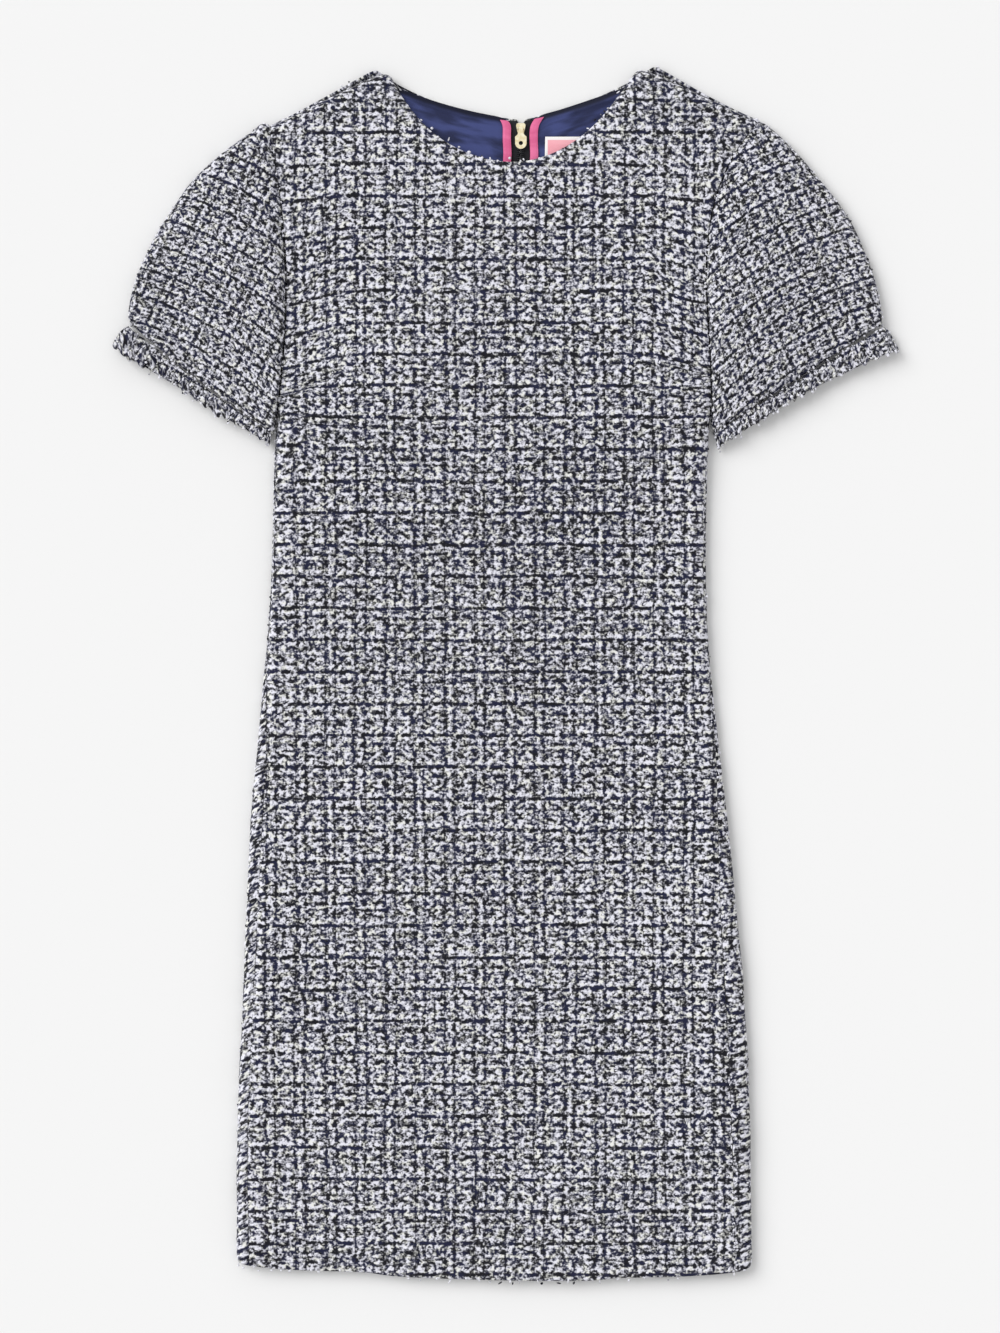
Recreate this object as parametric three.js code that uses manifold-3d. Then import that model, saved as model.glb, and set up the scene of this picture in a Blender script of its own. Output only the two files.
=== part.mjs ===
// A short shift dress of boucle tweed with gathered puff sleeves, laid flat on its back.
// X runs across the dress, Y from the hem to the neck, Z up from the surface it lies on.
// The origin is on that surface, under the middle of the dress. All sizes are millimetres.
// "left" is the -X side and "right" the +X side, looking down on the front.
import * as THREE from 'three';
import { mergeVertices } from 'three/addons/utils/BufferGeometryUtils.js';
import Module from 'manifold-3d';

// ---- driving sizes ---------------------------------------------------------------
const CLOTH = 2.0; // wall of the tweed
const THIN = 1.0; // wall of lining, zip tape, binding and label
const GAP = 0.3; // between pieces at a seam, and between layers
const HEM_Y = -457;
const FULL_LENGTH = 868; // cloth from the hem to the tip of a shoulder, along one column
const UNDERARM_Y = 185;
const FOLD_REACH = 8; // how far in from a folded edge the cloth is level again
const FOLD_PATH = 10.5; // cloth that a quarter of that fold takes
const BESIDE_FOLD = 4; // level cloth that is meshed with the fold
const FOLD_Z = 5; // height of the outermost line of a folded edge
const TOP_Z = 10; // outer face of the front where it lies plain
const BUST_RISE = 7.5; // what the darts lift the front
const BUST_REACH = 38;
const BUST_POINTS = [{ x: -98, y: 208 }, { x: 95, y: 214 }];
const SIDE_RISE = 1.4; // the rolled sides stand a little above the middle
const UNDERARM_CLOSE = 16; // length of armhole over which front and back close together
const NECK_CLOSE = 24; // length of neck edge over which they close at the shoulder
const ZIP_LENGTH = 470;
const LINING_DEPTH = 76;

// Outline of the body: side edges up to the underarm, armhole seams above it, and how far
// each side seam lies in from the edge, because the back comes round to the front there.
const BODY = [
  { y: -460, left: -202.5, right: 185.5, seamLeft: 10, seamRight: 13 },
  { y: -380, left: -203, right: 184.5, seamLeft: 9, seamRight: 14 },
  { y: -321, left: -201.8, right: 183.8, seamLeft: 8, seamRight: 15 },
  { y: -246, left: -198, right: 180, seamLeft: 8.5, seamRight: 15 },
  { y: -171, left: -195, right: 173.3, seamLeft: 9, seamRight: 13 },
  { y: -96, left: -191.5, right: 165, seamLeft: 9.5, seamRight: 6 },
  { y: -58, left: -187, right: 160.5, seamLeft: 8, seamRight: 1.5 },
  { y: -2, left: -182.5, right: 154.5, seamLeft: 1.2, seamRight: 0.5 },
  { y: 54, left: -177.4, right: 150.8, seamLeft: 0.5, seamRight: 0.5 },
  { y: 129, left: -175.5, right: 151.2, seamLeft: 0.5, seamRight: 0.5 },
  { y: 165, left: -174.7, right: 152.4, seamLeft: 0.3, seamRight: 0.3 },
  { y: UNDERARM_Y, left: -173.2, right: 153.4, seamLeft: 0, seamRight: 0 },
  { y: 221, left: -168, right: 153.8, seamLeft: 0, seamRight: 0 },
  { y: 264, left: -165, right: 151.5, seamLeft: 0, seamRight: 0 },
  { y: 295, left: -164.3, right: 149.5, seamLeft: 0, seamRight: 0 },
  { y: 339, left: -167, right: 152.3, seamLeft: 0, seamRight: 0 },
  { y: 373, left: -172, right: 162.5, seamLeft: 0, seamRight: 0 },
  { y: 395, left: -175.5, right: 175, seamLeft: 0, seamRight: 0 },
  { y: 415, left: -178.5, right: 190.5, seamLeft: 0, seamRight: 0 },
];
const TIP = { left: { x: -178.5, y: 411 }, right: { x: 190.5, y: 415 } };
const NECK = [
  { x: -87.8, front: 454.5, back: 454.5 },
  { x: -80, front: 434.5, back: 447.5 },
  { x: -72.8, front: 422.3, back: 442.5 },
  { x: -55.5, front: 403.5, back: 433 },
  { x: -35.3, front: 391.5, back: 425 },
  { x: -14.3, front: 384, back: 419 },
  { x: 6.4, front: 381, back: 415.6 },
  { x: 27, front: 384.8, back: 419.3 },
  { x: 48, front: 393.8, back: 427.5 },
  { x: 64.5, front: 407.3, back: 434.8 },
  { x: 78.8, front: 424, back: 442.3 },
  { x: 90.8, front: 441, back: 450.6 },
  { x: 99, front: 456.7, back: 456.7 },
];
// How far the hem lifts above HEM_Y, and over what height that fades out.
const HEM = [
  { x: -203, rise: 13 },
  { x: -198, rise: 10.6 },
  { x: -188, rise: 9 },
  { x: -166, rise: 6 },
  { x: -130, rise: 5.2 },
  { x: -64, rise: 2.3 },
  { x: 0, rise: 0.3 },
  { x: 100, rise: 0 },
  { x: 145, rise: 1.5 },
  { x: 170, rise: 4.2 },
  { x: 180, rise: 6.2 },
  { x: 186, rise: 10 },
];
const HEM_FADE = 90;
// Soft ridges (+) and hollows (-) of the laid front.
const DRAPE = [
  { x: -150, y: 60, wide: 26, long: 40, rise: 2.4 },
  { x: -120, y: -20, wide: 30, long: 45, rise: -0.9 },
  { x: 110, y: 20, wide: 34, long: 60, rise: 1.3 },
  { x: -60, y: -170, wide: 40, long: 90, rise: 1.1 },
  { x: 70, y: -210, wide: 38, long: 80, rise: -0.8 },
  { x: -130, y: -330, wide: 36, long: 70, rise: -0.8 },
  { x: 60, y: -400, wide: 60, long: 50, rise: 1.5 },
  { x: 140, y: -360, wide: 28, long: 70, rise: 1.2 },
  { x: 10, y: 330, wide: 60, long: 40, rise: 1.0 },
];
// Outer edge of each sleeve, from the shoulder tip down to the gathers of the cuff.
const SLEEVE_EDGE = [
  { s: 0, leftX: -178.8, leftY: 411, rightX: 190.8, rightY: 415 },
  { s: 0.1, leftX: -188.5, leftY: 408, rightX: 202, rightY: 408 },
  { s: 0.3, leftX: -213, leftY: 391.5, rightX: 217.5, rightY: 391 },
  { s: 0.46, leftX: -233, leftY: 372.8, rightX: 234.5, rightY: 372.5 },
  { s: 0.62, leftX: -251, leftY: 350, rightX: 252.3, rightY: 350 },
  { s: 0.78, leftX: -268.5, leftY: 320, rightX: 268.5, rightY: 320 },
  { s: 0.9, leftX: -280.5, leftY: 292, rightX: 279.3, rightY: 290 },
  { s: 1, leftX: -284.2, leftY: 262.5, rightX: 284.5, rightY: 262 },
];
// Inner end of the gathers, the two ends of the cuff's free edge, and how far the gathers and
// that edge bow out between their ends.
const CUFF = {
  left: {
    in: { x: -175.4, y: 179 }, inEdge: { x: -177.2, y: 171 }, outEdge: { x: -295.5, y: 246 },
    belly: 2.5, edgeBelly: 1,
  },
  right: {
    in: { x: 155.4, y: 179 }, inEdge: { x: 160.6, y: 170 }, outEdge: { x: 295.5, y: 242 },
    belly: 0, edgeBelly: -5,
  },
};
const CUFF_FOLD = 4;
const SLEEVE_PUFF = 7; // rise of the sleeve's middle above the plain front
const HEAD_PUFF = 2.6; // rise of the gathered sleeve head beside the armhole
const RUFFLE_WAVES = 7;
const RUFFLE_DEPTH = 1.3; // in and out at the ruffle's free edge
const RUFFLE_LIFT = 1.2; // up and down there

// Centre-back line, down the zip, and the V that its open top makes in the neck edge.
const ZIP_TOP = { x: 11.2, y: 410.5 };
const ZIP_LEAN = 19.8 / 867; // sideways for each millimetre down
const V_SPREAD = 0.6;
// Bands beside the centre-back line: distance from it, and depth inside the back's outer face.
const TAPE = { from: 0.5, to: 9.5, near: CLOTH + GAP };
const COIL = { from: 0.4, to: 2.6, near: CLOTH + 2 * GAP + THIN, wall: 1.4 };
const LINING = { from: 9.9, short: 13, near: CLOTH + 2 * GAP }; // it ends short of the neck point
const BINDING = { from: 6.8, to: 13, near: CLOTH + 3 * GAP + THIN };
const LABEL = { from: 18.5, to: 52, top: 402.4, bottom: 377, near: CLOTH + 3 * GAP + THIN, wall: 0.6 };
// Zip slider and its pull.
const SLIDER = { long: 8, wide: 7, thick: 1.8, z: 3.6, y: 408.5 };
const EAR = { thick: 0.8, inner: 2.3, radius: 1.3, sunk: 0.2 };
const PIN = { radius: 0.5, clearance: 0.35 };
// Distances of the pull's outline below its pin: the end of the neck, the bend, full width.
const PULL = {
  long: 15.5, wide: 8.6, neck: 3.4, thick: 1.0, hole: 1.6, above: 0.9, neckEnd: 2.2, bend: 4.6,
  full: 6.4,
};

// ---- colours ---------------------------------------------------------------------
const finish = (color, roughness, metalness = 0) =>
  new THREE.MeshStandardMaterial({ color, roughness, metalness });
const TWEED = finish(0x85858e, 0.95);
const SATIN = finish(0x2e3258, 0.45);
const PINK = finish(0xf06fa2, 0.55);
const TAPE_CLOTH = finish(0x1c1d2b, 0.8);
const COIL_PLASTIC = finish(0x15151c, 0.4);
const LABEL_CLOTH = finish(0xf5d0d4, 0.7);
const PALE_GOLD = finish(0xd9c3a0, 0.3, 1);

// ---- helpers ---------------------------------------------------------------------
const { min, max, sin, cos, acos, exp, hypot, PI } = Math;
const clamp = (value, low = 0, high = 1) => min(high, max(low, value));
const mix = (a, b, t) => a + (b - a) * t;

// Smooth reading of one column of a table, by cubics whose slopes are the rows' own.
function read(table, key, at, column) {
  const last = table.length - 1;
  let i = table.findIndex((row) => row[key] > at) - 1;
  if (i < -1) i = last - 1;
  i = clamp(i, 0, last - 1);
  const slope = (k) => {
    const a = table[max(0, k - 1)];
    const b = table[min(last, k + 1)];
    return (b[column] - a[column]) / (b[key] - a[key]);
  };
  const low = table[i];
  const high = table[i + 1];
  const span = high[key] - low[key];
  const t = (at - low[key]) / span;
  if (t < 0) return low[column];
  if (t > 1) return high[column];
  const t2 = t * t;
  const t3 = t2 * t;
  return (2 * t3 - 3 * t2 + 1) * low[column] + (t3 - 2 * t2 + t) * span * slope(i)
    + (3 * t2 - 2 * t3) * high[column] + (t3 - t2) * span * slope(i + 1);
}

// Cloth turning over a folded edge, `path` millimetres along from its outermost line:
// how far in from the edge it has come, and its lift from -1 (under) to 1 (on top).
function fold(path, reach = FOLD_REACH, quarter = FOLD_PATH) {
  const turn = clamp(path / quarter, -1, 1) * (PI / 2);
  return { inward: reach * (1 - cos(turn)) + max(0, Math.abs(path) - quarter), lift: sin(turn) };
}
const raise = (lift, top) => (lift > 0 ? mix(FOLD_Z, top, lift) : FOLD_Z * (1 + lift));

// A closed wall of cloth over a grid of stations: two skins, `near` and `far` inside the
// outer face, joined round their rim. `facing` is 1 where u x v points out of the garment.
// `square` tests which stations have a wall that stands square to a seam that runs along Y.
function wall(surface, us, vs, { near = 0, far = CLOTH, facing = 1, ring = false, square = [] } = {}) {
  const stepU = (us[us.length - 1] - us[0]) * 1e-4;
  const stepV = (vs[vs.length - 1] - vs[0]) * 1e-4;
  const place = (u, v, depth, squared) => {
    const here = surface(u, v);
    const alongU = surface(u + stepU, v).sub(surface(u - stepU, v));
    const alongV = surface(u, v + stepV).sub(surface(u, v - stepV));
    const out = alongU.cross(alongV).multiplyScalar(facing);
    if (squared) out.x = 0;
    return here.addScaledVector(out.normalize(), -depth);
  };
  const skins = [near, far].map((depth) => us.map((u, i) => vs.map((v, j) =>
    place(u, v, depth, square.some((test) => test(i, j, u, v))))));
  const corners = [];
  const quad = (a, b, c, d) => corners.push(a, b, c, a, c, d);
  const columns = ring ? us.length : us.length - 1;
  const next = (i) => (i + 1) % us.length;
  for (let i = 0; i < columns; i++) {
    for (let j = 0; j < vs.length - 1; j++) {
      quad(skins[0][i][j], skins[0][next(i)][j], skins[0][next(i)][j + 1], skins[0][i][j + 1]);
      quad(skins[1][i][j + 1], skins[1][next(i)][j + 1], skins[1][next(i)][j], skins[1][i][j]);
    }
    const top = vs.length - 1;
    quad(skins[0][next(i)][0], skins[0][i][0], skins[1][i][0], skins[1][next(i)][0]);
    quad(skins[0][i][top], skins[0][next(i)][top], skins[1][next(i)][top], skins[1][i][top]);
  }
  if (!ring) {
    const end = us.length - 1;
    for (let j = 0; j < vs.length - 1; j++) {
      quad(skins[0][0][j], skins[0][0][j + 1], skins[1][0][j + 1], skins[1][0][j]);
      quad(skins[0][end][j + 1], skins[0][end][j], skins[1][end][j], skins[1][end][j + 1]);
    }
  }
  if (facing < 0) corners.reverse();
  const positions = new Float32Array(corners.flatMap((p) => [p.x, p.y, p.z]));
  const geometry = new THREE.BufferGeometry();
  geometry.setAttribute('position', new THREE.BufferAttribute(positions, 3));
  return geometry;
}

// ---- the body's form -------------------------------------------------------------
const edgeX = (side, y) => read(BODY, 'y', y, side);
const inwards = (side) => (side === 'left' ? 1 : -1);
const tipToTip = TIP.right.x - TIP.left.x;
const neckFrom = (NECK[0].x - TIP.left.x) / tipToTip;
const neckTo = (NECK[NECK.length - 1].x - TIP.left.x) / tipToTip;

// 1 along a side seam, falling to 0 up the armhole as front and back part.
function closedSide(y) {
  return 1 - fold(y - UNDERARM_Y, UNDERARM_CLOSE, UNDERARM_CLOSE * 1.3).lift * (y > UNDERARM_Y ? 1 : 0);
}
// 1 along a shoulder seam, falling to 0 down the neck edge.
function closedTop(f) {
  const into = max(0, min(f - neckFrom, neckTo - f)) * tipToTip;
  return f < neckFrom || f > neckTo ? 1 : (1 - clamp(into / NECK_CLOSE)) ** 2;
}
// Height of the upper edge of the front or back, at fraction f from tip to tip.
function topEdge(f, layer) {
  if (f <= neckFrom) return mix(TIP.left.y, NECK[0].front, f / neckFrom);
  const last = NECK[NECK.length - 1];
  if (f >= neckTo) return mix(last.front, TIP.right.y, (f - neckTo) / (1 - neckTo));
  return read(NECK, 'x', TIP.left.x + f * tipToTip, layer);
}
// Outer face of the laid front.
function frontTop(x, y) {
  let z = TOP_Z;
  for (const point of BUST_POINTS) {
    z += BUST_RISE * exp(-(((x - point.x) ** 2 + (y - point.y) ** 2) / (2 * BUST_REACH ** 2)));
  }
  for (const { x: cx, y: cy, wide, long, rise } of DRAPE) {
    z += rise * exp(-(((x - cx) / wide) ** 2 + ((y - cy) / long) ** 2) / 2);
  }
  const fromSide = min(x - edgeX('left', y), edgeX('right', y) - x);
  return z + SIDE_RISE * exp(-(((fromSide - 14) / 16) ** 2)) * closedSide(y);
}
// Path along the cloth from a side's outermost line to its seam.
function seamPath(side, y) {
  const inset = read(BODY, 'y', y, side === 'left' ? 'seamLeft' : 'seamRight');
  if (inset >= FOLD_REACH) return FOLD_PATH + inset - FOLD_REACH;
  return (acos(1 - max(0, inset) / FOLD_REACH) / (PI / 2)) * FOLD_PATH;
}
// A point of the body's outer face: `path` from a side's outermost line (negative under the
// dress), at height y, `drop` along the cloth from the upper edge.
function bodyPoint(side, path, y, drop, shut) {
  const closed = closedSide(y);
  const turned = fold(path);
  const under = path < 0;
  const straight = Math.abs(path);
  const open = under || closed === 1 ? straight : path;
  const x = edgeX(side, y) + inwards(side) * mix(open, turned.inward, closed);
  const over = fold(drop);
  const lift = (under ? -1 : 1) * mix(1, Math.abs(turned.lift), closed) * mix(1, over.lift, shut);
  const fade = clamp(1 - (y - HEM_Y) / HEM_FADE) ** 2;
  const hem = read(HEM, 'x', x, 'rise') * fade;
  return new THREE.Vector3(x, y + hem, raise(lift, frontTop(x, y)));
}
// Height of a station: `row` from 0 at the hem to 1 at the upper edge, or past it.
function rowHeight(f, row, layer, shut) {
  const edge = topEdge(f, layer);
  const path = (1 - row) * (edge - HEM_Y);
  const turned = fold(path);
  return { y: edge - mix(path, turned.inward, shut), drop: path };
}

// ---- front -----------------------------------------------------------------------
// Share of the width at which a column runs, so that its upper end meets the neck edge.
function columnShare(f) {
  if (f <= neckFrom || f >= neckTo) return f;
  const y = topEdge(f, 'front');
  const left = edgeX('left', y);
  return (TIP.left.x + f * tipToTip - left) / (edgeX('right', y) - left);
}
function frontPoint(f, row) {
  const shut = closedTop(f);
  const { y, drop } = rowHeight(f, row, 'front', shut);
  const closed = closedSide(y);
  const starts = { left: seamPath('left', y) + GAP / 2, right: seamPath('right', y) + GAP / 2 };
  const across = edgeX('right', y) - edgeX('left', y) + 2 * closed * (FOLD_PATH - FOLD_REACH);
  const length = across - starts.left - starts.right;
  const share = columnShare(f);
  if (share < 0.5) return bodyPoint('left', starts.left + share * length, y, drop, shut);
  return bodyPoint('right', starts.right + (1 - share) * length, y, drop, shut);
}
const range = (count, from, to) =>
  Array.from({ length: count + 1 }, (_, i) => mix(from, to, i / count));
const NECK_COLUMNS = 10;
const neckStations = range(NECK_COLUMNS, 0, PI)
  .map((angle) => mix(neckFrom, neckTo, (1 - cos(angle)) / 2));
const edgeStations = [0, 0.009, 0.021, 0.036, 0.09, 0.165];
const frontColumns = [
  ...edgeStations, ...neckStations, ...edgeStations.map((f) => 1 - f).reverse(),
];
// Rows: close together round the hem, the underarm and the upper edge.
const bodyRows = [
  0, 0.01, 0.035, 0.085, 0.14, 0.195, 0.25, 0.305, 0.36, 0.415, 0.47, 0.52, 0.57, 0.62, 0.67,
  0.712, 0.746, 0.765, 0.79, 0.82, 0.855, 0.89, 0.925, 0.955, 0.975, 0.987, 0.9945,
];
const panelRows = [...bodyRows, 1 - GAP / 2 / FULL_LENGTH];
const lowest = (i, j, u, v) => rowHeight(u, v, 'front', 0).y > UNDERARM_Y + 1;
const frontEdges = (i, j, u, v) => (i === 0 || i === frontColumns.length - 1) && lowest(i, j, u, v);

// ---- back ------------------------------------------------------------------------
const centreX = (y) => ZIP_TOP.x + (y - ZIP_TOP.y) * ZIP_LEAN;
const vOpening = (y) => max(0, y - ZIP_TOP.y) * V_SPREAD;
// `out` is the path from the centre-back line, in millimetres or as a share of the whole.
function backPoint(side, out, row, share = true) {
  const atCentre = (centreX(ZIP_TOP.y) - TIP.left.x) / tipToTip;
  const f0 = side === 'left' ? 0 : 1;
  const widest = (side === 'left' ? atCentre : 1 - atCentre) * tipToTip;
  const part = (share ? backPath(out, widest, 0) : out) / widest;
  const f = mix(atCentre, f0, clamp(part));
  const shut = closedTop(f);
  const { y, drop } = rowHeight(f, row, 'back', shut);
  const closed = closedSide(y);
  const start = GAP / 2 + vOpening(y);
  const under = Math.abs(edgeX(side, y) - centreX(y)) + closed * (FOLD_PATH - FOLD_REACH);
  const seam = seamPath(side, y);
  const travelled = share ? backPath(out, under - start + seam - GAP / 2, seam) : out;
  return bodyPoint(side, start + travelled - under, y, drop, shut);
}
// The last columns of a back share out its fold, up to the seam, the others its level part.
const FOLD_SHARE = 0.4;
const BACK_FOLD_COLUMNS = 7;
function backPath(out, length, seam) {
  const turn = FOLD_PATH + BESIDE_FOLD + seam;
  if (out < 1 - FOLD_SHARE) return (out / (1 - FOLD_SHARE)) * (length - turn);
  return length - turn * ((1 - out) / FOLD_SHARE);
}
// Columns of a back: closer together towards the neck point, then along the shoulder, then
// round the fold.
function backColumns(side) {
  const centre = centreX(ZIP_TOP.y);
  const neckPoint = side === 'left' ? NECK[0].x : NECK[NECK.length - 1].x;
  const level = Math.abs(TIP[side].x - centre) - FOLD_PATH - BESIDE_FOLD;
  const atNeck = (Math.abs(neckPoint - centre) / level) * (1 - FOLD_SHARE);
  return [
    ...range(6, 0, PI / 2).map((angle) => atNeck * sin(angle)),
    ...range(3, atNeck, 1 - FOLD_SHARE).slice(1),
    ...range(BACK_FOLD_COLUMNS, 1 - FOLD_SHARE, 1).slice(1),
  ];
}
const backFacing = (side) => (side === 'left' ? 1 : -1);
const backEdge = (i, j, u, v) => u === 1 && rowHeight(0, v, 'back', 0).y > UNDERARM_Y + 1;

// ---- sleeves and cuffs -----------------------------------------------------------
const plane = (x, y) => ({ x, y });
function blend(a, b, t) {
  return plane(mix(a.x, b.x, t), mix(a.y, b.y, t));
}
const outerEdge = (side, s) =>
  plane(read(SLEEVE_EDGE, 's', s, `${side}X`), read(SLEEVE_EDGE, 's', s, `${side}Y`));
const armholeEnd = (side) => plane(edgeX(side, UNDERARM_Y) - inwards(side) * GAP / 2, UNDERARM_Y);
function armhole(side, t) {
  const y = mix(TIP[side].y, UNDERARM_Y, t);
  return plane(edgeX(side, y) - inwards(side) * GAP / 2, y);
}
function bow(from, to, t, belly) {
  const long = hypot(to.x - from.x, to.y - from.y);
  const out = plane(-Math.abs(to.y - from.y) / long, -Math.abs(to.x - from.x) / long);
  const on = blend(from, to, t);
  const swell = belly * sin(PI * clamp(t) ** 0.8);
  return plane(on.x + Math.sign(from.x) * -out.x * swell, on.y + out.y * swell);
}
// The sleeve's plan: a patch between armhole, outer edge, cuff line and underarm seam.
function sleevePlan(side, s, t) {
  const outer = outerEdge(side, s);
  const inner = blend(armholeEnd(side), CUFF[side].in, s);
  const head = armhole(side, t);
  const cuff = bow(outerEdge(side, 1), CUFF[side].in, t, CUFF[side].belly);
  const corner = blend(blend(outerEdge(side, 0), armholeEnd(side), t),
    blend(outerEdge(side, 1), CUFF[side].in, t), s);
  const sides = blend(outer, inner, t);
  const ends = blend(head, cuff, s);
  return plane(sides.x + ends.x - corner.x, sides.y + ends.y - corner.y);
}
function sleeveTop(side, s, t) {
  const head = armhole(side, t);
  const puff = SLEEVE_PUFF * sin(PI * clamp(s) ** 0.85) * sin(PI * clamp(t));
  const gathers = HEAD_PUFF * exp(-(((s - 0.12) / 0.12) ** 2)) * sin(PI * clamp(t)) ** 0.5;
  return mix(frontTop(head.x, head.y), TOP_Z, clamp(s)) + puff + gathers * clamp(s * 10);
}
// Stations round a flattened tube: over the top from the outer fold to the inner one, and
// back underneath. Whole numbers are the columns of the mesh.
const FOLD_COLUMNS = 3;
const SHOULDER_ROW = 0.98; // the rows of the front between underarm and shoulder meet the sleeve
const UNDERARM_ROW = 0.78;
const ARMHOLE_ROWS = bodyRows.filter((row) => row > UNDERARM_ROW && row < SHOULDER_ROW).reverse();
const LEVEL_COLUMNS = ARMHOLE_ROWS.length + 1;
const HALF_ROUND = 2 * FOLD_COLUMNS + LEVEL_COLUMNS;
const ringColumns = Array.from({ length: 2 * HALF_ROUND }, (_, i) => i);
// The level columns start where the rows of the front meet the armhole, `shares` of the way.
const armholeShares = (side) => ARMHOLE_ROWS.map((row) =>
  ((1 - row) * (TIP[side].y - HEM_Y)) / (TIP[side].y - UNDERARM_Y));
function roundTube(side, u, width, innerReach) {
  const full = 2 * HALF_ROUND;
  const at = ((u % full) + full) % full;
  const onTop = at <= HALF_ROUND;
  const step = onTop ? at : full - at;
  const last = HALF_ROUND - FOLD_COLUMNS;
  let inward;
  let lift = 1;
  if (step < FOLD_COLUMNS) {
    const turn = (step / FOLD_COLUMNS) * (PI / 2);
    inward = FOLD_REACH * (1 - cos(turn));
    lift = sin(turn);
  } else if (step > last) {
    const turn = ((HALF_ROUND - step) / FOLD_COLUMNS) * (PI / 2);
    inward = width - innerReach * (1 - cos(turn));
    lift = sin(turn);
  } else {
    const stops = [FOLD_REACH, ...armholeShares(side).map((t) => t * width), width - innerReach];
    const before = min(Math.floor(step - FOLD_COLUMNS), LEVEL_COLUMNS - 1);
    inward = mix(stops[before], stops[before + 1], step - FOLD_COLUMNS - before);
  }
  return { t: inward / width, lift: onTop ? lift : -lift };
}
function sleevePoint(side, u, s) {
  const outer = outerEdge(side, s);
  const inner = blend(armholeEnd(side), CUFF[side].in, s);
  const width = hypot(outer.x - inner.x, outer.y - inner.y);
  const { t, lift } = roundTube(side, u, width, mix(UNDERARM_CLOSE, CUFF_FOLD, clamp(s)));
  const { x, y } = sleevePlan(side, s, t);
  return new THREE.Vector3(x, y, raise(lift, sleeveTop(side, s, t)));
}
const sleeveRows = [0, 0.06, 0.15, 0.27, 0.4, 0.53, 0.66, 0.78, 0.88, 0.96, 0.996];
const sleeveFacing = (side) => (side === 'left' ? -1 : 1);
const armholeRow = (i, j) => j === 0;

// The ruffle below the cuff's gathers; s runs from the gathers to the free edge.
function cuffPoint(side, u, s) {
  const { out, wave } = ruffle(side, u, s);
  const from = outerEdge(side, 1);
  const to = CUFF[side].in;
  const outer = blend(from, CUFF[side].outEdge, s);
  const inner = blend(to, CUFF[side].inEdge, s);
  const width = hypot(outer.x - inner.x, outer.y - inner.y);
  const { t, lift } = roundTube(side, u, width, CUFF_FOLD);
  const line = bow(outer, inner, t, mix(CUFF[side].belly, CUFF[side].edgeBelly, s));
  const top = TOP_Z + RUFFLE_LIFT * wave * s;
  return new THREE.Vector3(line.x + out.x, line.y + out.y, raise(lift, top));
}
function ruffle(side, u, s) {
  const wave = sin((u / HALF_ROUND) * RUFFLE_WAVES * PI + (side === 'left' ? 0.4 : 1.5));
  const reach = RUFFLE_DEPTH * wave * clamp(s) * (u < HALF_ROUND ? 1 : -0.6);
  const ends = sin(PI * ((u % HALF_ROUND) / HALF_ROUND)) ** 2;
  return { out: plane(0, -reach * ends), wave: wave * ends * (u < HALF_ROUND ? 1 : 0) };
}
const cuffRows = [0.09, 0.36, 0.68, 1];

// ---- lining, zip tapes, coil, bindings and label ---------------------------------
const rowsDown = (depths) => depths.map((depth) => 1 - depth / FULL_LENGTH).reverse();
const liningRows = rowsDown([0.8, 4, 9, 16, 26, 38, 50, 62, LINING_DEPTH]);
const tapeRows = rowsDown([1.2, 5, 9, 20, 36, 60, 90, 140, 190, 240, 290, 340, 390, 430, ZIP_LENGTH]);
const coilRows = rowsDown([12, 20, 36, 60, 90, 140, 190, 240, 290, 340, 390, 430, ZIP_LENGTH - 6]);
const bindingRows = rowsDown([1.2, 5, 9, 16, 26, 38, 50, 62, LINING_DEPTH - 2]);
function band(side, spec, rows, columns) {
  const thickness = spec.wall ?? THIN;
  const surface = (out, row) => backPoint(side, out, row, false);
  const neckPoint = side === 'left' ? NECK[0].x : NECK[NECK.length - 1].x;
  const to = spec.to ?? Math.abs(neckPoint - centreX(NECK[0].back)) - spec.short;
  return wall(surface, range(columns, spec.from, to), rows,
    { near: spec.near, far: spec.near + thickness, facing: backFacing(side) });
}
function labelPatch() {
  const heights = range(4, LABEL.bottom, LABEL.top);
  const flat = (out, y) => new THREE.Vector3(centreX(y) + out, y, 0);
  return wall(flat, range(4, LABEL.from, LABEL.to), heights,
    { near: LABEL.near, far: LABEL.near + LABEL.wall, facing: -1 });
}

// ---- zip slider and pull ---------------------------------------------------------
const wasm = await Module();
wasm.setup();
function solid(geometry) {
  const bare = geometry.index ? geometry.toNonIndexed() : geometry.clone();
  bare.deleteAttribute('normal');
  bare.deleteAttribute('uv');
  const merged = mergeVertices(bare, 1e-4);
  return new wasm.Manifold(new wasm.Mesh({
    numProp: 3,
    vertProperties: new Float32Array(merged.attributes.position.array),
    triVerts: new Uint32Array(merged.index.array),
  }));
}
function fromSolid(manifold) {
  const mesh = manifold.getMesh();
  const geometry = new THREE.BufferGeometry();
  geometry.setAttribute('position', new THREE.BufferAttribute(mesh.vertProperties, 3));
  geometry.setIndex(new THREE.BufferAttribute(mesh.triVerts, 1));
  return geometry;
}
const extrude = (shape, depth) =>
  new THREE.ExtrudeGeometry(shape, { depth, bevelEnabled: false, curveSegments: 8 });
const pivotZ = SLIDER.z + SLIDER.thick + EAR.radius - EAR.sunk;
const across = (radius, long) => {
  const rod = new THREE.CylinderGeometry(radius, radius, long, 16);
  rod.rotateZ(PI / 2);
  return rod;
};
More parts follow.
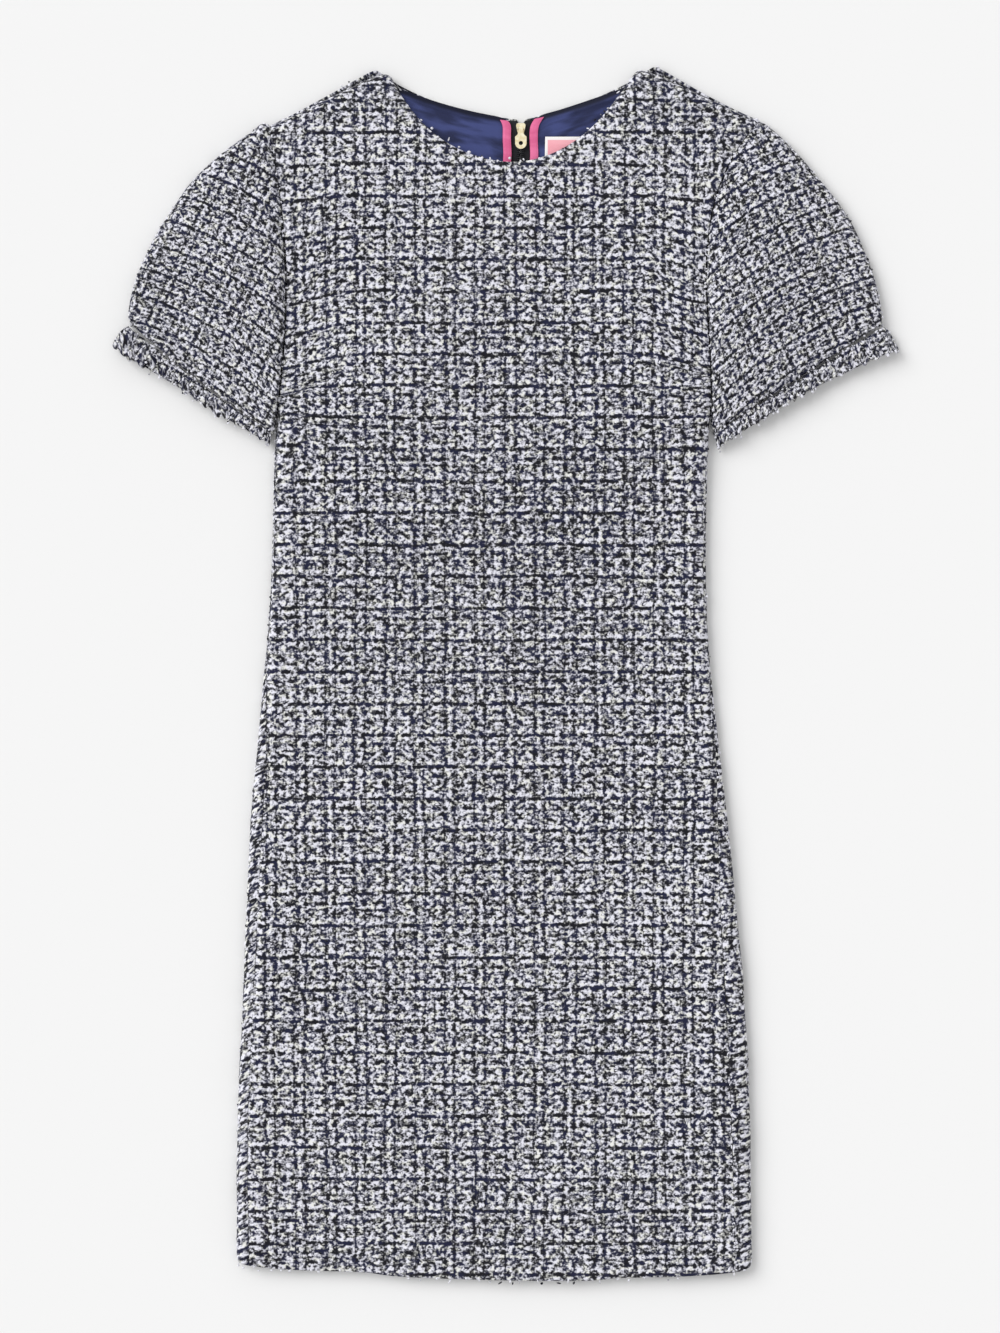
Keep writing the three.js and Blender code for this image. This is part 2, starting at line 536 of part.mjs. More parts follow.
// The slider's body narrows from its mouth, at the neck end, to its tail over the coil.
function sliderShape() {
  const half = SLIDER.wide / 2;
  const shape = new THREE.Shape();
  shape.moveTo(-half * 0.62, -SLIDER.long / 2);
  shape.lineTo(half * 0.62, -SLIDER.long / 2);
  shape.lineTo(half, SLIDER.long / 2 - 2);
  shape.quadraticCurveTo(half, SLIDER.long / 2, half * 0.5, SLIDER.long / 2);
  shape.lineTo(-half * 0.5, SLIDER.long / 2);
  shape.quadraticCurveTo(-half, SLIDER.long / 2, -half, SLIDER.long / 2 - 2);
  shape.closePath();
  return shape;
}
function sliderGeometry() {
  let body = solid(extrude(sliderShape(), SLIDER.thick).translate(0, 0, SLIDER.z));
  const foot = SLIDER.z + SLIDER.thick / 2;
  for (const sign of [-1, 1]) {
    const ear = new THREE.Shape();
    ear.moveTo(-EAR.radius, foot);
    ear.lineTo(EAR.radius, foot);
    ear.lineTo(EAR.radius, pivotZ);
    ear.absarc(0, pivotZ, EAR.radius, 0, PI, false);
    ear.closePath();
    const plate = extrude(ear, EAR.thick);
    plate.applyMatrix4(new THREE.Matrix4().makeBasis(
      new THREE.Vector3(0, 1, 0), new THREE.Vector3(0, 0, 1), new THREE.Vector3(1, 0, 0)));
    plate.translate(sign * (EAR.inner + EAR.thick / 2) - EAR.thick / 2, 0, 0);
    body = body.add(solid(plate));
  }
  const bore = across(PIN.radius + PIN.clearance, 20).translate(0, 0, pivotZ);
  return fromSolid(body.subtract(solid(bore)));
}
// A plain tab with rounded ends, a small round hole, and a pin through its narrow neck.
function pullGeometry() {
  const half = PULL.wide / 2;
  const neck = PULL.neck / 2;
  const shape = new THREE.Shape();
  shape.moveTo(-neck, PULL.above);
  shape.lineTo(neck, PULL.above);
  shape.lineTo(neck, -PULL.neckEnd);
  shape.quadraticCurveTo(neck, -PULL.bend, half, -PULL.full);
  shape.lineTo(half, -PULL.long + half);
  shape.absarc(0, -PULL.long + half, half, 0, -PI, true);
  shape.lineTo(-half, -PULL.full);
  shape.quadraticCurveTo(-neck, -PULL.bend, -neck, -PULL.neckEnd);
  shape.closePath();
  const hole = new THREE.Path();
  hole.absarc(0, -PULL.long + half, PULL.hole, 0, 2 * PI, false);
  shape.holes.push(hole);
  const plate = solid(extrude(shape, PULL.thick).translate(0, 0, -PULL.thick / 2));
  const pin = solid(across(PIN.radius, 2 * (EAR.inner + EAR.thick)));
  return fromSolid(plate.add(pin));
}

// ---- the dress -------------------------------------------------------------------
const dress = new THREE.Group();
function add(name, geometry, material) {
  const mesh = new THREE.Mesh(geometry, material);
  mesh.name = name;
  dress.add(mesh);
  return mesh;
}
add('front', wall(frontPoint, frontColumns, panelRows, { square: [frontEdges] }), TWEED);
for (const side of ['left', 'right']) {
  const back = (out, row) => backPoint(side, out, row);
  add(`back_${side}`, wall(back, backColumns(side), panelRows,
    { facing: backFacing(side), square: [backEdge] }), TWEED);
  const sleeve = (u, s) => sleevePoint(side, u, s);
  add(`sleeve_${side}`, wall(sleeve, ringColumns, sleeveRows,
    { facing: sleeveFacing(side), ring: true, square: [armholeRow] }), TWEED);
  const cuff = (u, s) => cuffPoint(side, u, s);
  add(`cuff_${side}`, wall(cuff, ringColumns, cuffRows,
    { facing: sleeveFacing(side), ring: true }), TWEED);
  add(`lining_${side}`, band(side, LINING, liningRows, 7), SATIN);
  add(`zip_tape_${side}`, band(side, TAPE, tapeRows, 2), TAPE_CLOTH);
  add(`zip_coil_${side}`, band(side, COIL, coilRows, 1), COIL_PLASTIC);
  add(`binding_${side}`, band(side, BINDING, bindingRows, 2), PINK);
}
add('label', labelPatch(), LABEL_CLOTH);
const zipHead = new THREE.Group();
zipHead.position.set(centreX(SLIDER.y), SLIDER.y, 0);
dress.add(zipHead);
const slider = new THREE.Mesh(sliderGeometry(), PALE_GOLD);
slider.name = 'zip_slider';
const pull = new THREE.Mesh(pullGeometry(), PALE_GOLD);
pull.name = 'zip_pull';
pull.position.z = pivotZ;
zipHead.add(slider, pull);

export default dress;
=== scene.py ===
# %% [markdown]
# A short boucle tweed shift dress, laid flat on its back on a pale surface.
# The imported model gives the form: panels of plain cloth, where each one lies and how far it
# reaches. This file dresses that form. Each panel becomes one thin sheet of tweed with its
# own grain, and the lining, the zip and the label follow. Lengths are metres, as always in
# Blender, and small distances are written as a number times MM.

import math

import bmesh
import bpy
import numpy as np
from mathutils import Matrix, Vector, kdtree, noise


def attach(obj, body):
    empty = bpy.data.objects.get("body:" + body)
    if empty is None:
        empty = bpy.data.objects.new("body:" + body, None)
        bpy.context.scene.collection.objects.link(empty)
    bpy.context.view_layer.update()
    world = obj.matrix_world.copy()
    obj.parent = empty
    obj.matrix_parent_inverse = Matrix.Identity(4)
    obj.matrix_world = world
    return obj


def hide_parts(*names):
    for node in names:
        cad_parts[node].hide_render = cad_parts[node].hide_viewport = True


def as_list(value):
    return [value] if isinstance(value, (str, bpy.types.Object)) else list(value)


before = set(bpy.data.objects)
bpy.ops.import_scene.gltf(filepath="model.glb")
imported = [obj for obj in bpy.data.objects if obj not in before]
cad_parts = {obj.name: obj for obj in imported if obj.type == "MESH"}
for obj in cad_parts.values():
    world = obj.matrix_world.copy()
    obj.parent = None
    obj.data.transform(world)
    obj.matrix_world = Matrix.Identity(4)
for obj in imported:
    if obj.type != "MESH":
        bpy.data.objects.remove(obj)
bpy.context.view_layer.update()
MM = 0.001

# %% [markdown]
# The picture of a laid-out dress is taken from straight above, from far enough away that
# nothing looks slanted. The floor is a plain pale sheet, the light a wide soft lamp from
# the upper left, and the rest of the room fills in the shadows.

# %% Camera, floor and light
scene = bpy.context.scene
scene.view_settings.view_transform = "Standard"
EYE = Vector((-4.5 * MM, 4.1 * MM, 2.61))
LOOKED_AT = 10 * MM  # height of the laid cloth, where the frame is SEEN_HEIGHT tall
SEEN_HEIGHT = 1.0
SENSOR = 36  # millimetres, as for any full-size camera

camera = bpy.data.objects.new("camera", bpy.data.cameras.new("camera"))
camera.data.sensor_width = SENSOR
camera.data.lens = SENSOR * (EYE.z - LOOKED_AT) / SEEN_HEIGHT
camera.location = EYE
scene.collection.objects.link(camera)
scene.camera = camera

floor_mesh = bpy.data.meshes.new("floor")
bm = bmesh.new()
bmesh.ops.create_grid(bm, x_segments=1, y_segments=1, size=30)
bmesh.ops.translate(bm, verts=bm.verts, vec=(0, 0, -0.3 * MM))
bm.to_mesh(floor_mesh)
bm.free()
floor = bpy.data.objects.new("floor", floor_mesh)
scene.collection.objects.link(floor)

lamp = bpy.data.objects.new("window_light", bpy.data.lights.new("window_light", "SUN"))
lamp.data.energy = 1.95
lamp.data.angle = math.radians(42)
lamp.rotation_euler = (math.radians(-24), math.radians(-46), 0)
scene.collection.objects.link(lamp)
world = bpy.data.worlds.new("room")
world.use_nodes = True
sky = world.node_tree.nodes["Background"].inputs
sky["Color"].default_value = (1, 1, 1, 1)
sky["Strength"].default_value = 0.70
scene.world = world
print(f"camera {EYE.z:.2f} m up, lens {camera.data.lens:.0f} mm")

# %% [markdown]
# Materials are graphs of small nodes. Two short helpers keep them readable: `node` makes
# one and plugs in its inputs, and `calc` is a maths node. Anything that is already a socket
# is linked, anything else is set as a plain value.


# %% Helpers for node graphs
def node(tree, kind, inputs=None, **settings):
    made = tree.nodes.new(kind)
    for key, value in settings.items():
        setattr(made, key, value)
    for key, value in (inputs or {}).items():
        if isinstance(value, bpy.types.NodeSocket):
            tree.links.new(value, made.inputs[key])
        else:
            made.inputs[key].default_value = value
    return made


def calc(tree, operation, *values):
    return node(tree, "ShaderNodeMath", dict(enumerate(values)), operation=operation).outputs[0]


def leaned(tree, light, noise_here, amount, less=None):
    """light plus `amount` of a noise, minus `less`, which is half the amount unless given."""
    lower = calc(tree, "SUBTRACT", light, amount / 2 if less is None else less)
    return calc(tree, "MULTIPLY_ADD", noise_here, amount, lower)


def ramp(tree, value, low, high, to_low=0.0, to_high=1.0):
    """A soft step: to_low where value is under low, to_high where it is over high."""
    inputs = {"Value": value, "From Min": low, "From Max": high,
              "To Min": to_low, "To Max": to_high}
    return node(tree, "ShaderNodeMapRange", inputs, interpolation_type="SMOOTHSTEP").outputs[0]


def grains(tree, where, size, detail=1.0, rough=0.5):
    """Noise from 0 to 1 whose blobs are about `size` = (across, along) of the grain map."""
    scaled = node(tree, "ShaderNodeVectorMath", {0: where, 1: (1 / size[0], 1 / size[1], 1)},
                  operation="MULTIPLY").outputs[0]
    inputs = {"Vector": scaled, "Scale": 1.0, "Detail": detail, "Roughness": rough}
    return node(tree, "ShaderNodeTexNoise", inputs, noise_dimensions="2D").outputs[0]


def blobs(tree, where, scale, detail):
    """Noise in all three directions, `scale` blobs to a unit of `where`."""
    inputs = {"Vector": where, "Scale": scale, "Detail": detail}
    return node(tree, "ShaderNodeTexNoise", inputs).outputs[0]


def mixed(tree, share, a, b):
    made = node(tree, "ShaderNodeMix", data_type="RGBA")
    for socket, value in ((made.inputs[0], share), (made.inputs[6], a), (made.inputs[7], b)):
        if isinstance(value, bpy.types.NodeSocket):
            tree.links.new(value, socket)
        else:
            socket.default_value = value
    return made.outputs[2]


def new_group(name, inputs, outputs):
    tree = bpy.data.node_groups.new(name, "ShaderNodeTree")
    for direction, sockets in (("INPUT", inputs), ("OUTPUT", outputs)):
        for label, kind in sockets.items():
            tree.interface.new_socket(label, in_out=direction, socket_type=f"NodeSocket{kind}")
    return tree, tree.nodes.new("NodeGroupInput"), tree.nodes.new("NodeGroupOutput")


def rgb(code):
    """A colour as painters write it, such as 1f2548, in Blender's linear numbers."""
    parts = [int(code[i:i + 2], 16) / 255 for i in (0, 2, 4)]
    return [c / 12.92 if c < 0.04045 else ((c + 0.055) / 1.055) ** 2.4 for c in parts] + [1.0]


print("mid grey in linear numbers:", round(rgb("808080")[0], 3))


# %% [markdown]
# Boucle tweed is woven from fancy yarns: a looped white and cream yarn that stands up in
# nubs where it passes over, thin navy and black yarns between, and every 24 mm a firm navy
# thread right across the cloth. A weaver writes such a cloth as a draft, one repeat in which
# each float has its place. The table below is that draft, in millimetres of cloth. A float
# is a stretch where a yarn lies on top of its neighbours.

# %% The draft of the tweed
REPEAT_ACROSS, REPEAT_ALONG = 22.4, 23.8  # millimetres
# Floats: place across, place along from the firm thread, half width, half height, lightness.
DRAFT = [
    (10.5, 3.0, 1.7, 1.7, 0.45),
    (16.5, 3.0, 2.7, 1.3, 0.50),
    (3.2, 4.6, 2.0, 1.7, 0.42),
    (2.6, -4.5, 1.3, 3.0, 0.38),
    (15.8, -3.0, 3.3, 1.3, 0.38),
    (9.8, -5.2, 1.5, 1.4, 0.18),
    (4.1, -10.1, 1.7, 1.2, 0.22),
    (9.8, -9.8, 2.0, 1.3, 0.24),
    (15.8, -10.1, 3.2, 1.1, 0.36),
    (16.5, -14.3, 2.5, 1.4, 0.42),
    (3.8, -14.3, 1.6, 1.3, 0.28),
    (12.0, 5.2, 1.5, 1.8, 0.32),
    (6.0, -6.8, 1.7, 2.0, -0.44),
    (17.3, -6.9, 4.4, 1.2, -0.44),
    (21.4, -12.0, 2.5, 1.2, -0.38),
    (7.9, -12.4, 1.9, 1.0, -0.24),
    (10.5, -15.0, 2.4, 1.2, -0.40),
    (22.1, -14.6, 1.3, 1.8, -0.40),
    (6.4, -17.3, 1.4, 1.7, -0.34),
]
# Dark threads: place, half width, lightness, how often they dive under (0 never, 1 mostly).
WEFT_THREADS = [(0.0, 1.05, -0.74, 0.42)]
WARP_THREADS = [(21.4, 0.6, -0.36, 0.35), (6.5, 0.6, -0.32, 0.4), (14.0, 0.45, -0.2, 0.5)]
print(len(DRAFT), "floats in a repeat of", REPEAT_ACROSS, "x", REPEAT_ALONG, "mm")

# %% [markdown]
# A node group turns the draft into cloth. It reads the grain map, whose numbers are
# millimetres of cloth, and repeats the draft over it. On the loom nothing is exact: every
# thread wanders, the yarn curls over the draft, and some yarns run thick or thin for
# centimetres. Each of those is a noise of its own size, so that no two repeats look alike.
# The group gives a colour and a height, and any tweed material can share it.

# %% Boucle tweed
tree, given, result = new_group(
    "boucle_tweed",
    {"Grain": "Vector", "Tone_and_shade": "Float"},
    {"Color": "Color", "Height": "Float"},
)
grain = given.outputs["Grain"]
split = node(tree, "ShaderNodeSeparateXYZ", {0: grain})


def wander(size, reach):
    """A yarn's own wandering: up to half `reach` either way."""
    return calc(tree, "MULTIPLY_ADD", grains(tree, grain, size), 2 * reach, -reach)


def moved_by(value, slow, quick):
    return calc(tree, "ADD", calc(tree, "ADD", value, slow), quick)


column = moved_by(split.outputs[0], wander((45, 160), 2.6), wander((8, 5), 0.9))
row = moved_by(split.outputs[1], wander((60, 50), 1.6), wander((6, 9), 0.9))
place = node(tree, "ShaderNodeCombineXYZ", {0: column, 1: row}).outputs[0]


def float_at(across, along, half_width, half_height):
    """1 in the middle of a float, 0 outside it, in every repeat."""
    def vector_math(operation, *values):
        return node(tree, "ShaderNodeVectorMath", dict(enumerate(values)), operation=operation)

    half = (REPEAT_ACROSS / 2, REPEAT_ALONG / 2, 1)
    offset = vector_math("SUBTRACT", place, (across, along, 0)).outputs[0]
    near_one = vector_math("WRAP", offset, half, tuple(-h for h in half)).outputs[0]
    sized = vector_math("MULTIPLY", near_one, (1 / half_width, 1 / half_height, 0)).outputs[0]
    return ramp(tree, vector_math("LENGTH", sized).outputs["Value"], 1.5, 0.35)


def thread(along_axis, repeat, at, half_width, size, dives):
    """1 on a thread, 0 beside it and where it dives under its neighbours."""
    phase = calc(tree, "PINGPONG", calc(tree, "SUBTRACT", along_axis, at), repeat / 2)
    shown = ramp(tree, grains(tree, grain, size), 0.25 + 0.3 * dives, 0.42 + 0.3 * dives)
    body = ramp(tree, phase, half_width + 0.5, max(half_width - 0.5, 0))
    return calc(tree, "MULTIPLY", body, shown)


strength = ramp(tree, grains(tree, grain, (13, 9), 1.0), 0.30, 0.62, 0.55, 1.45)
drawn = 0.0
for *float_shape, level in DRAFT:
    drawn = calc(tree, "MULTIPLY_ADD", float_at(*float_shape), level, drawn)
light = calc(tree, "MULTIPLY_ADD", drawn, strength, 0.60)
# Curls and nubs of yarn, over the draft and across it.
curls = ramp(tree, grains(tree, grain, (2.9, 2.4), 1.2, 0.6), 0.28, 0.72)
light = leaned(tree, light, curls, 0.90, less=0.54)
light = leaned(tree, light, grains(tree, grain, (9, 6), 1.5), 0.50)
for threads, axis, repeat, size in ((WARP_THREADS, column, REPEAT_ACROSS, (9, 6)),
                                    (WEFT_THREADS, row, REPEAT_ALONG, (6, 12))):
    for at, half_width, level, dives in threads:
        shown = thread(axis, repeat, at, half_width, size, dives)
        light = calc(tree, "MULTIPLY_ADD", shown, level, light)
# Slubs, which are single yarns that run thick or thin, across and then along the cloth, and
# last the slow change from patch to patch.
light = leaned(tree, light, grains(tree, grain, (48, 3.6), 1.0), 0.30)
light = leaned(tree, light, grains(tree, grain, (4.2, 60), 1.0), 0.14)
light = leaned(tree, light, grains(tree, grain, (120, 70), 2.0), 0.22)
# The tone_and_shade attribute multiplies in here: uneven dye and painted shade.
light = calc(tree, "MULTIPLY", calc(tree, "MAXIMUM", light, 0.0), given.outputs["Tone_and_shade"])
shade = ramp(tree, light, -0.10, 1.08)

navy_here = ramp(tree, grains(tree, grain, (14, 8), 2.0), 0.42, 0.62)
dark = mixed(tree, navy_here, rgb("14141b"), rgb("1c1f39"))
cream_here = ramp(tree, grains(tree, grain, (7, 5)), 0.5, 0.62)
pale = mixed(tree, cream_here, rgb("e2e2ec"), rgb("e6e6e2"))
colour = mixed(tree, calc(tree, "POWER", shade, 1.9), dark, pale)
tree.links.new(colour, result.inputs["Color"])
tree.links.new(shade, result.inputs["Height"])
TWEED_GROUP = tree
print("boucle tweed:", len(tree.nodes), "nodes")

# %% [markdown]
# The material puts the group on a rough, slightly hairy surface. Wool and cotton yarn has no
# shine to speak of, but its fibre ends catch a little light at a slant, which is what sheen
# stands for. The height goes to a bump, for the small hollows between the yarns.


# %% Tweed and plain materials
def tweed(name):
    material = bpy.data.materials.new(name)
    material.use_nodes = True
    graph = material.node_tree
    shader = graph.nodes["Principled BSDF"]
    shader.inputs["Roughness"].default_value = 0.95
    shader.inputs["Sheen Weight"].default_value = 0.15
    shader.inputs["Specular IOR Level"].default_value = 0.2
    grain_map = node(graph, "ShaderNodeUVMap", uv_map="grain")
    cloth = node(graph, "ShaderNodeGroup", node_tree=TWEED_GROUP)
    graph.links.new(grain_map.outputs[0], cloth.inputs["Grain"])
    # The tone_and_shade attribute holds uneven dye and painted shade.
    tone_and_shade = node(graph, "ShaderNodeAttribute", attribute_name="tone_and_shade")
    graph.links.new(tone_and_shade.outputs["Fac"], cloth.inputs["Tone_and_shade"])
    graph.links.new(cloth.outputs["Color"], shader.inputs["Base Color"])
    relief = {"Height": cloth.outputs["Height"], "Distance": 1.0 * MM, "Strength": 0.6}
    bump = node(graph, "ShaderNodeBump", relief)
    graph.links.new(bump.outputs[0], shader.inputs["Normal"])
    return material


def plain(name, colour, roughness=0.5, metallic=0.0):
    material = bpy.data.materials.new(name)
    material.use_nodes = True
    shader = material.node_tree.nodes["Principled BSDF"]
    shader.inputs["Base Color"].default_value = colour
    shader.inputs["Roughness"].default_value = roughness
    shader.inputs["Metallic"].default_value = metallic
    return material


floor.data.materials.append(plain("pale_floor", (0.84, 0.84, 0.84, 1), 0.9))
TWEED = tweed("tweed")
print("materials:", TWEED.name, "and", floor.data.materials[0].name)

# %% [markdown]
# A panel of the model is a closed slab of triangles, 2 mm thick: two skins joined by a
# narrow rim, whose edges are exactly as long as the slab is thick. Cloth is better made from
# one skin alone: take it, join its triangles back into four-sided patches, smooth it by
# subdivision, lay the grain over it, and give it its thickness last.

# %% From a slab to a sheet
MIDDLE = 5 * MM  # height half way between the back and the front of the laid dress
CAD_WALL = 2 * MM  # how thick the model makes its tweed
CLOTH = 1.7 * MM  # how thick the sheets are made here


def skin_of(name, wall, level):
    """The skin of a CAD slab that looks away from the height `level`."""
    bm = bmesh.new()
    bm.from_mesh(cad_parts[name].data)
    bmesh.ops.remove_doubles(bm, verts=bm.verts, dist=1e-6)

    def is_rim(face):
        return any(abs(e.calc_length() - wall) < 0.0005 * MM for e in face.edges)

    def looks_away(skin):
        return sum((f.calc_center_median().z - level) * f.normal.z * f.calc_area() for f in skin)

    left = {f for f in bm.faces if not is_rim(f)}
    skins = []
    while left:
        skin, todo = set(), [left.pop()]
        while todo:
            face = todo.pop()
            skin.add(face)
            fresh = {f for e in face.edges for f in e.link_faces} & left
            left -= fresh
            todo.extend(fresh)
        skins.append(skin)
    kept = max(skins, key=looks_away)
    bmesh.ops.delete(bm, geom=[f for f in bm.faces if f not in kept], context="FACES")
    bmesh.ops.join_triangles(bm, faces=bm.faces[:], angle_face_threshold=math.radians(60),
                             angle_shape_threshold=math.radians(180), topology_influence=1.5)
    return bm


def settled(obj):
    """The mesh that obj's modifiers make, in place of them."""
    graph = bpy.context.evaluated_depsgraph_get()
    made = bpy.data.meshes.new_from_object(obj.evaluated_get(graph))
    old = obj.data
    obj.modifiers.clear()
    obj.data = made
    bpy.data.meshes.remove(old)
    made.name = obj.name
    return made


def points(mesh):
    co = np.empty(len(mesh.vertices) * 3)
    mesh.vertices.foreach_get("co", co)
    return co.reshape(-1, 3)


def normals(mesh):
    n = np.empty(len(mesh.vertices) * 3)
    mesh.vertex_normals.foreach_get("vector", n)
    return n.reshape(-1, 3)


def lay_grain(mesh, uv):
    """The grain map: each point's place on the cloth, in millimetres."""
    layer = mesh.uv_layers.get("grain") or mesh.uv_layers.new(name="grain")
    corner = np.empty(len(mesh.loops), int)
    mesh.loops.foreach_get("vertex_index", corner)
    layer.data.foreach_set("uv", uv[corner].astype(np.float32).ravel())


def press(mesh, shape):
    """Give the sheet its creases."""
    mesh.vertices.foreach_set("co", shape(mesh, points(mesh), normals(mesh)).ravel())
    mesh.update()


def area_of(mesh):
    return sum(f.area for f in mesh.polygons)


def sheet_of(name, rule, shape=None, levels=3, wall=CAD_WALL, thick=CLOTH, level=MIDDLE):
    """One sheet of cloth on a slab's form. `rule` gives the grain, `shape` the creases."""
    bm = skin_of(name, wall, level)
    mesh = bpy.data.meshes.new(name + "_cloth")
    bm.to_mesh(mesh)
    bm.free()
    piece = bpy.data.objects.new(mesh.name, mesh)
    scene.collection.objects.link(piece)
    smooth = piece.modifiers.new("smooth", "SUBSURF")
    smooth.levels = smooth.render_levels = levels
    smooth.boundary_smooth = "PRESERVE_CORNERS"
    mesh = settled(piece)
    flat = points(mesh)
    lay_grain(mesh, rule(flat, normals(mesh)))
    if shape:
        press(mesh, shape)
    mesh.shade_smooth()
    wall_modifier = piece.modifiers.new("thickness", "SOLIDIFY")
    wall_modifier.thickness = thick
    wall_modifier.offset = -1
    wall_modifier.use_even_offset = False
    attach(piece, "dress")
    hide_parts(name)
    print(f"{piece.name}: {len(mesh.polygons)} patches, {area_of(mesh):.4f} m2")
    return piece


print(f"cloth {CLOTH / MM:.1f} mm thick on slabs of {CAD_WALL / MM:.1f} mm")

# %% [markdown]
# The grain runs straight down the front, but cloth that turns over a side edge, is pulled
# into a dart or is cut on a slant carries its threads along. Each panel therefore gets its
# own rule from place to grain. The outline of the body is read from the backs, because the
# path round a rolled edge is counted from there.

# %% Grain of each panel
SIGN = {"left": -1, "right": 1}
BAND = 27 * MM  # half the height of each band in which the outermost point is looked for
LAST_BAND = 400 * MM  # the bands go from the hem up to here, near the shoulders
outline = {}
for side, sign in SIGN.items():
    co = np.array([v.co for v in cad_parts["back_" + side].data.vertices])
    bands = np.linspace(co[:, 1].min(), LAST_BAND, 28)
    edge = [co[np.abs(co[:, 1] - at) < BAND, 0] * sign for at in bands]
    outline[side] = (bands, np.array([sign * e.max() for e in edge]))
ROLL = 8 * MM  # how far in the rolled side is level again
ROLL_PATH = 10.5 * MM  # cloth that a quarter of the roll takes
UNDERARM = 185 * MM
TOP = 10 * MM  # height of the laid front


def soft_step(x):
    x = np.clip(x, 0, 1)
    return x * x * (3 - 2 * x)


def from_edge(co, side):
    """How far in from a side's edge a point lies."""
    return np.maximum(-SIGN[side] * (co[:, 0] - np.interp(co[:, 1], *outline[side])), 0)


def rolled(co, side):
    """Path along the cloth from the outermost line of a side, negative under the dress."""
    inward = from_edge(co, side)
    turned = np.arccos(1 - np.minimum(inward / ROLL, 1)) / (np.pi / 2)
    path = np.where(inward < ROLL, turned * ROLL_PATH, inward - ROLL + ROLL_PATH)
    return np.where(co[:, 2] < MIDDLE, -path, path)


def to_segment(co, a, b):
    """Distance in plan from a straight stitch line, how far along it, from 0 to 1, and how far
    below it."""
    a, b = np.array(a) * MM, np.array(b) * MM
    t = np.clip(((co[:, :2] - a) @ (b - a)) / ((b - a) @ (b - a)), 0, 1)
    off = co[:, :2] - a - t[:, None] * (b - a)
    return np.linalg.norm(off, axis=1), t, -off[:, 1]


# Bust darts of the front: from the armhole to the point, in millimetres.
DARTS = [((-167.25, 207.75), (-124.5, 222.75)), ((155.25, 221.25), (124.5, 232.5))]
DART_TAKES = 7 * MM  # cloth that a dart takes at its wide end
SLANT = 11 * MM  # how far the weft threads drop toward the armholes
FRONT_MIDDLE = -5 * MM  # the front lies a little to the left of the middle


def front_grain(co, out):
    x, y = co[:, 0], co[:, 1]
    pull = soft_step((np.abs(x - FRONT_MIDDLE) - 108 * MM) / (60 * MM))
    window = soft_step((y - 165 * MM) / (75 * MM)) * soft_step((400 * MM - y) / (110 * MM))
    taken = np.zeros(len(co))
    for armhole, tip in DARTS:
        beside, along, below = to_segment(co, armhole, tip)
        step = soft_step(below / (1.5 * MM)) * np.exp(-((beside / (45 * MM)) ** 2))
        taken += DART_TAKES * step * (1 - along)
    # Over the shoulder the cloth runs down as well as back.
    shoulder = np.maximum(9.3 * MM - co[:, 2], 0) * soft_step((y - 340 * MM) / (30 * MM))
    across = x.copy()
    for side, sign in SIGN.items():
        beside = soft_step((190 * MM - y) / (20 * MM)) * (from_edge(co, side) < 30 * MM)
        across += sign * (ROLL_PATH - ROLL - rolled(co, side) + from_edge(co, side)) * beside
    return np.stack([across, y + SLANT * pull * window + 0.9 * shoulder - taken], 1) / MM


def back_grain(side, shift, slope):
    def grain(co, out):
        path = rolled(co, side)
        return np.stack([np.abs(np.interp(co[:, 1], *outline[side])) + path + shift[0] * MM,
                         co[:, 1] + slope * path + shift[1] * MM], 1) / MM
    return grain


SLEEVE_MIDDLE = (230 * MM, 290 * MM)
FALL = 0.48  # how steeply the weft of a sleeve runs down toward the body
EASE = 1.08  # cloth in a puff, against what shows of it from above


def sleeve_grain(side, shift, crowd=1.0):
    """Weft threads fall toward the body, less at the outer edge and near the shoulder. A point on
    a rolled edge is first moved out along its normal, as far as the cloth runs down to it."""
    def grain(co, out):
        place = co[:, :2] + out[:, :2] * (0.9 * np.clip(TOP - co[:, 2:], 0, TOP))
        inward = -SIGN[side] * (place[:, 0] - SIGN[side] * SLEEVE_MIDDLE[0])
        up = place[:, 1] - SLEEVE_MIDDLE[1]
        weft = up + FALL * inward + 1.8 * inward * inward - 1.5 * inward * up
        laid = np.stack([(inward - FALL * up) * crowd, weft], 1)
        return laid * EASE / MM + np.array(shift)
    return grain


for side in SIGN:
    widest = np.abs(outline[side][1]).max() / MM
    print(f"{side} side: {widest:.0f} mm from the middle at its widest")

# %% [markdown]
# Sewing leaves marks that a smooth panel lacks. A dart is a stitched wedge that ends in a
# point, and a seam sinks a little between its two edges. Each is a small push along the
# cloth's own normal, measured from a line or from the panel's rim. The same measures serve
# for gathers, whose folds are an uneven wave that runs along a seam.


# %% Seams and darts
def rim_of(mesh):
    """The open edges of a sheet as loops of points: one array for each loop."""
    bm = bmesh.new()
    bm.from_mesh(mesh)
    left = {v.index for v in bm.verts if v.is_boundary}
    bm.verts.ensure_lookup_table()
    loops = []
    while left:
        at = min(left)
        chain = []
        while at is not None:
            left.discard(at)
            chain.append(at)
            here = bm.verts[at]
            following = [e.other_vert(here).index for e in here.link_edges if e.is_boundary]
            at = next((i for i in following if i in left), None)
        loops.append(np.array([bm.verts[i].co for i in chain]))
    bm.free()
    return loops


def near(co, line):
    """Distance to a line of points, and how far along that line the nearest one is."""
    tree = kdtree.KDTree(len(line))
    for i, p in enumerate(line):
        tree.insert(p, i)
    tree.balance()
    run = np.concatenate([[0], np.cumsum(np.linalg.norm(np.diff(line, axis=0), axis=1))])
    found = [tree.find(p) for p in co]
    return np.array([f[2] for f in found]), run[[f[1] for f in found]]


def uneven_wave(run, spacing, seed):
    """A wave along a seam whose folds are about `spacing` apart, no two alike."""
    chance = np.random.default_rng(seed)
    count = int(run.max() / spacing * 2) + 3
    knots = np.cumsum(chance.uniform(0.6, 1.4, count)) * spacing / 2
    heights = np.where(np.arange(count) % 2, 1, -1) * chance.uniform(0.35, 1.0, count)
    at = np.searchsorted(knots, run).clip(1, count - 1)
    share = soft_step((run - knots[at - 1]) / (knots[at] - knots[at - 1]))
    return heights[at - 1] * (1 - share) + heights[at] * share


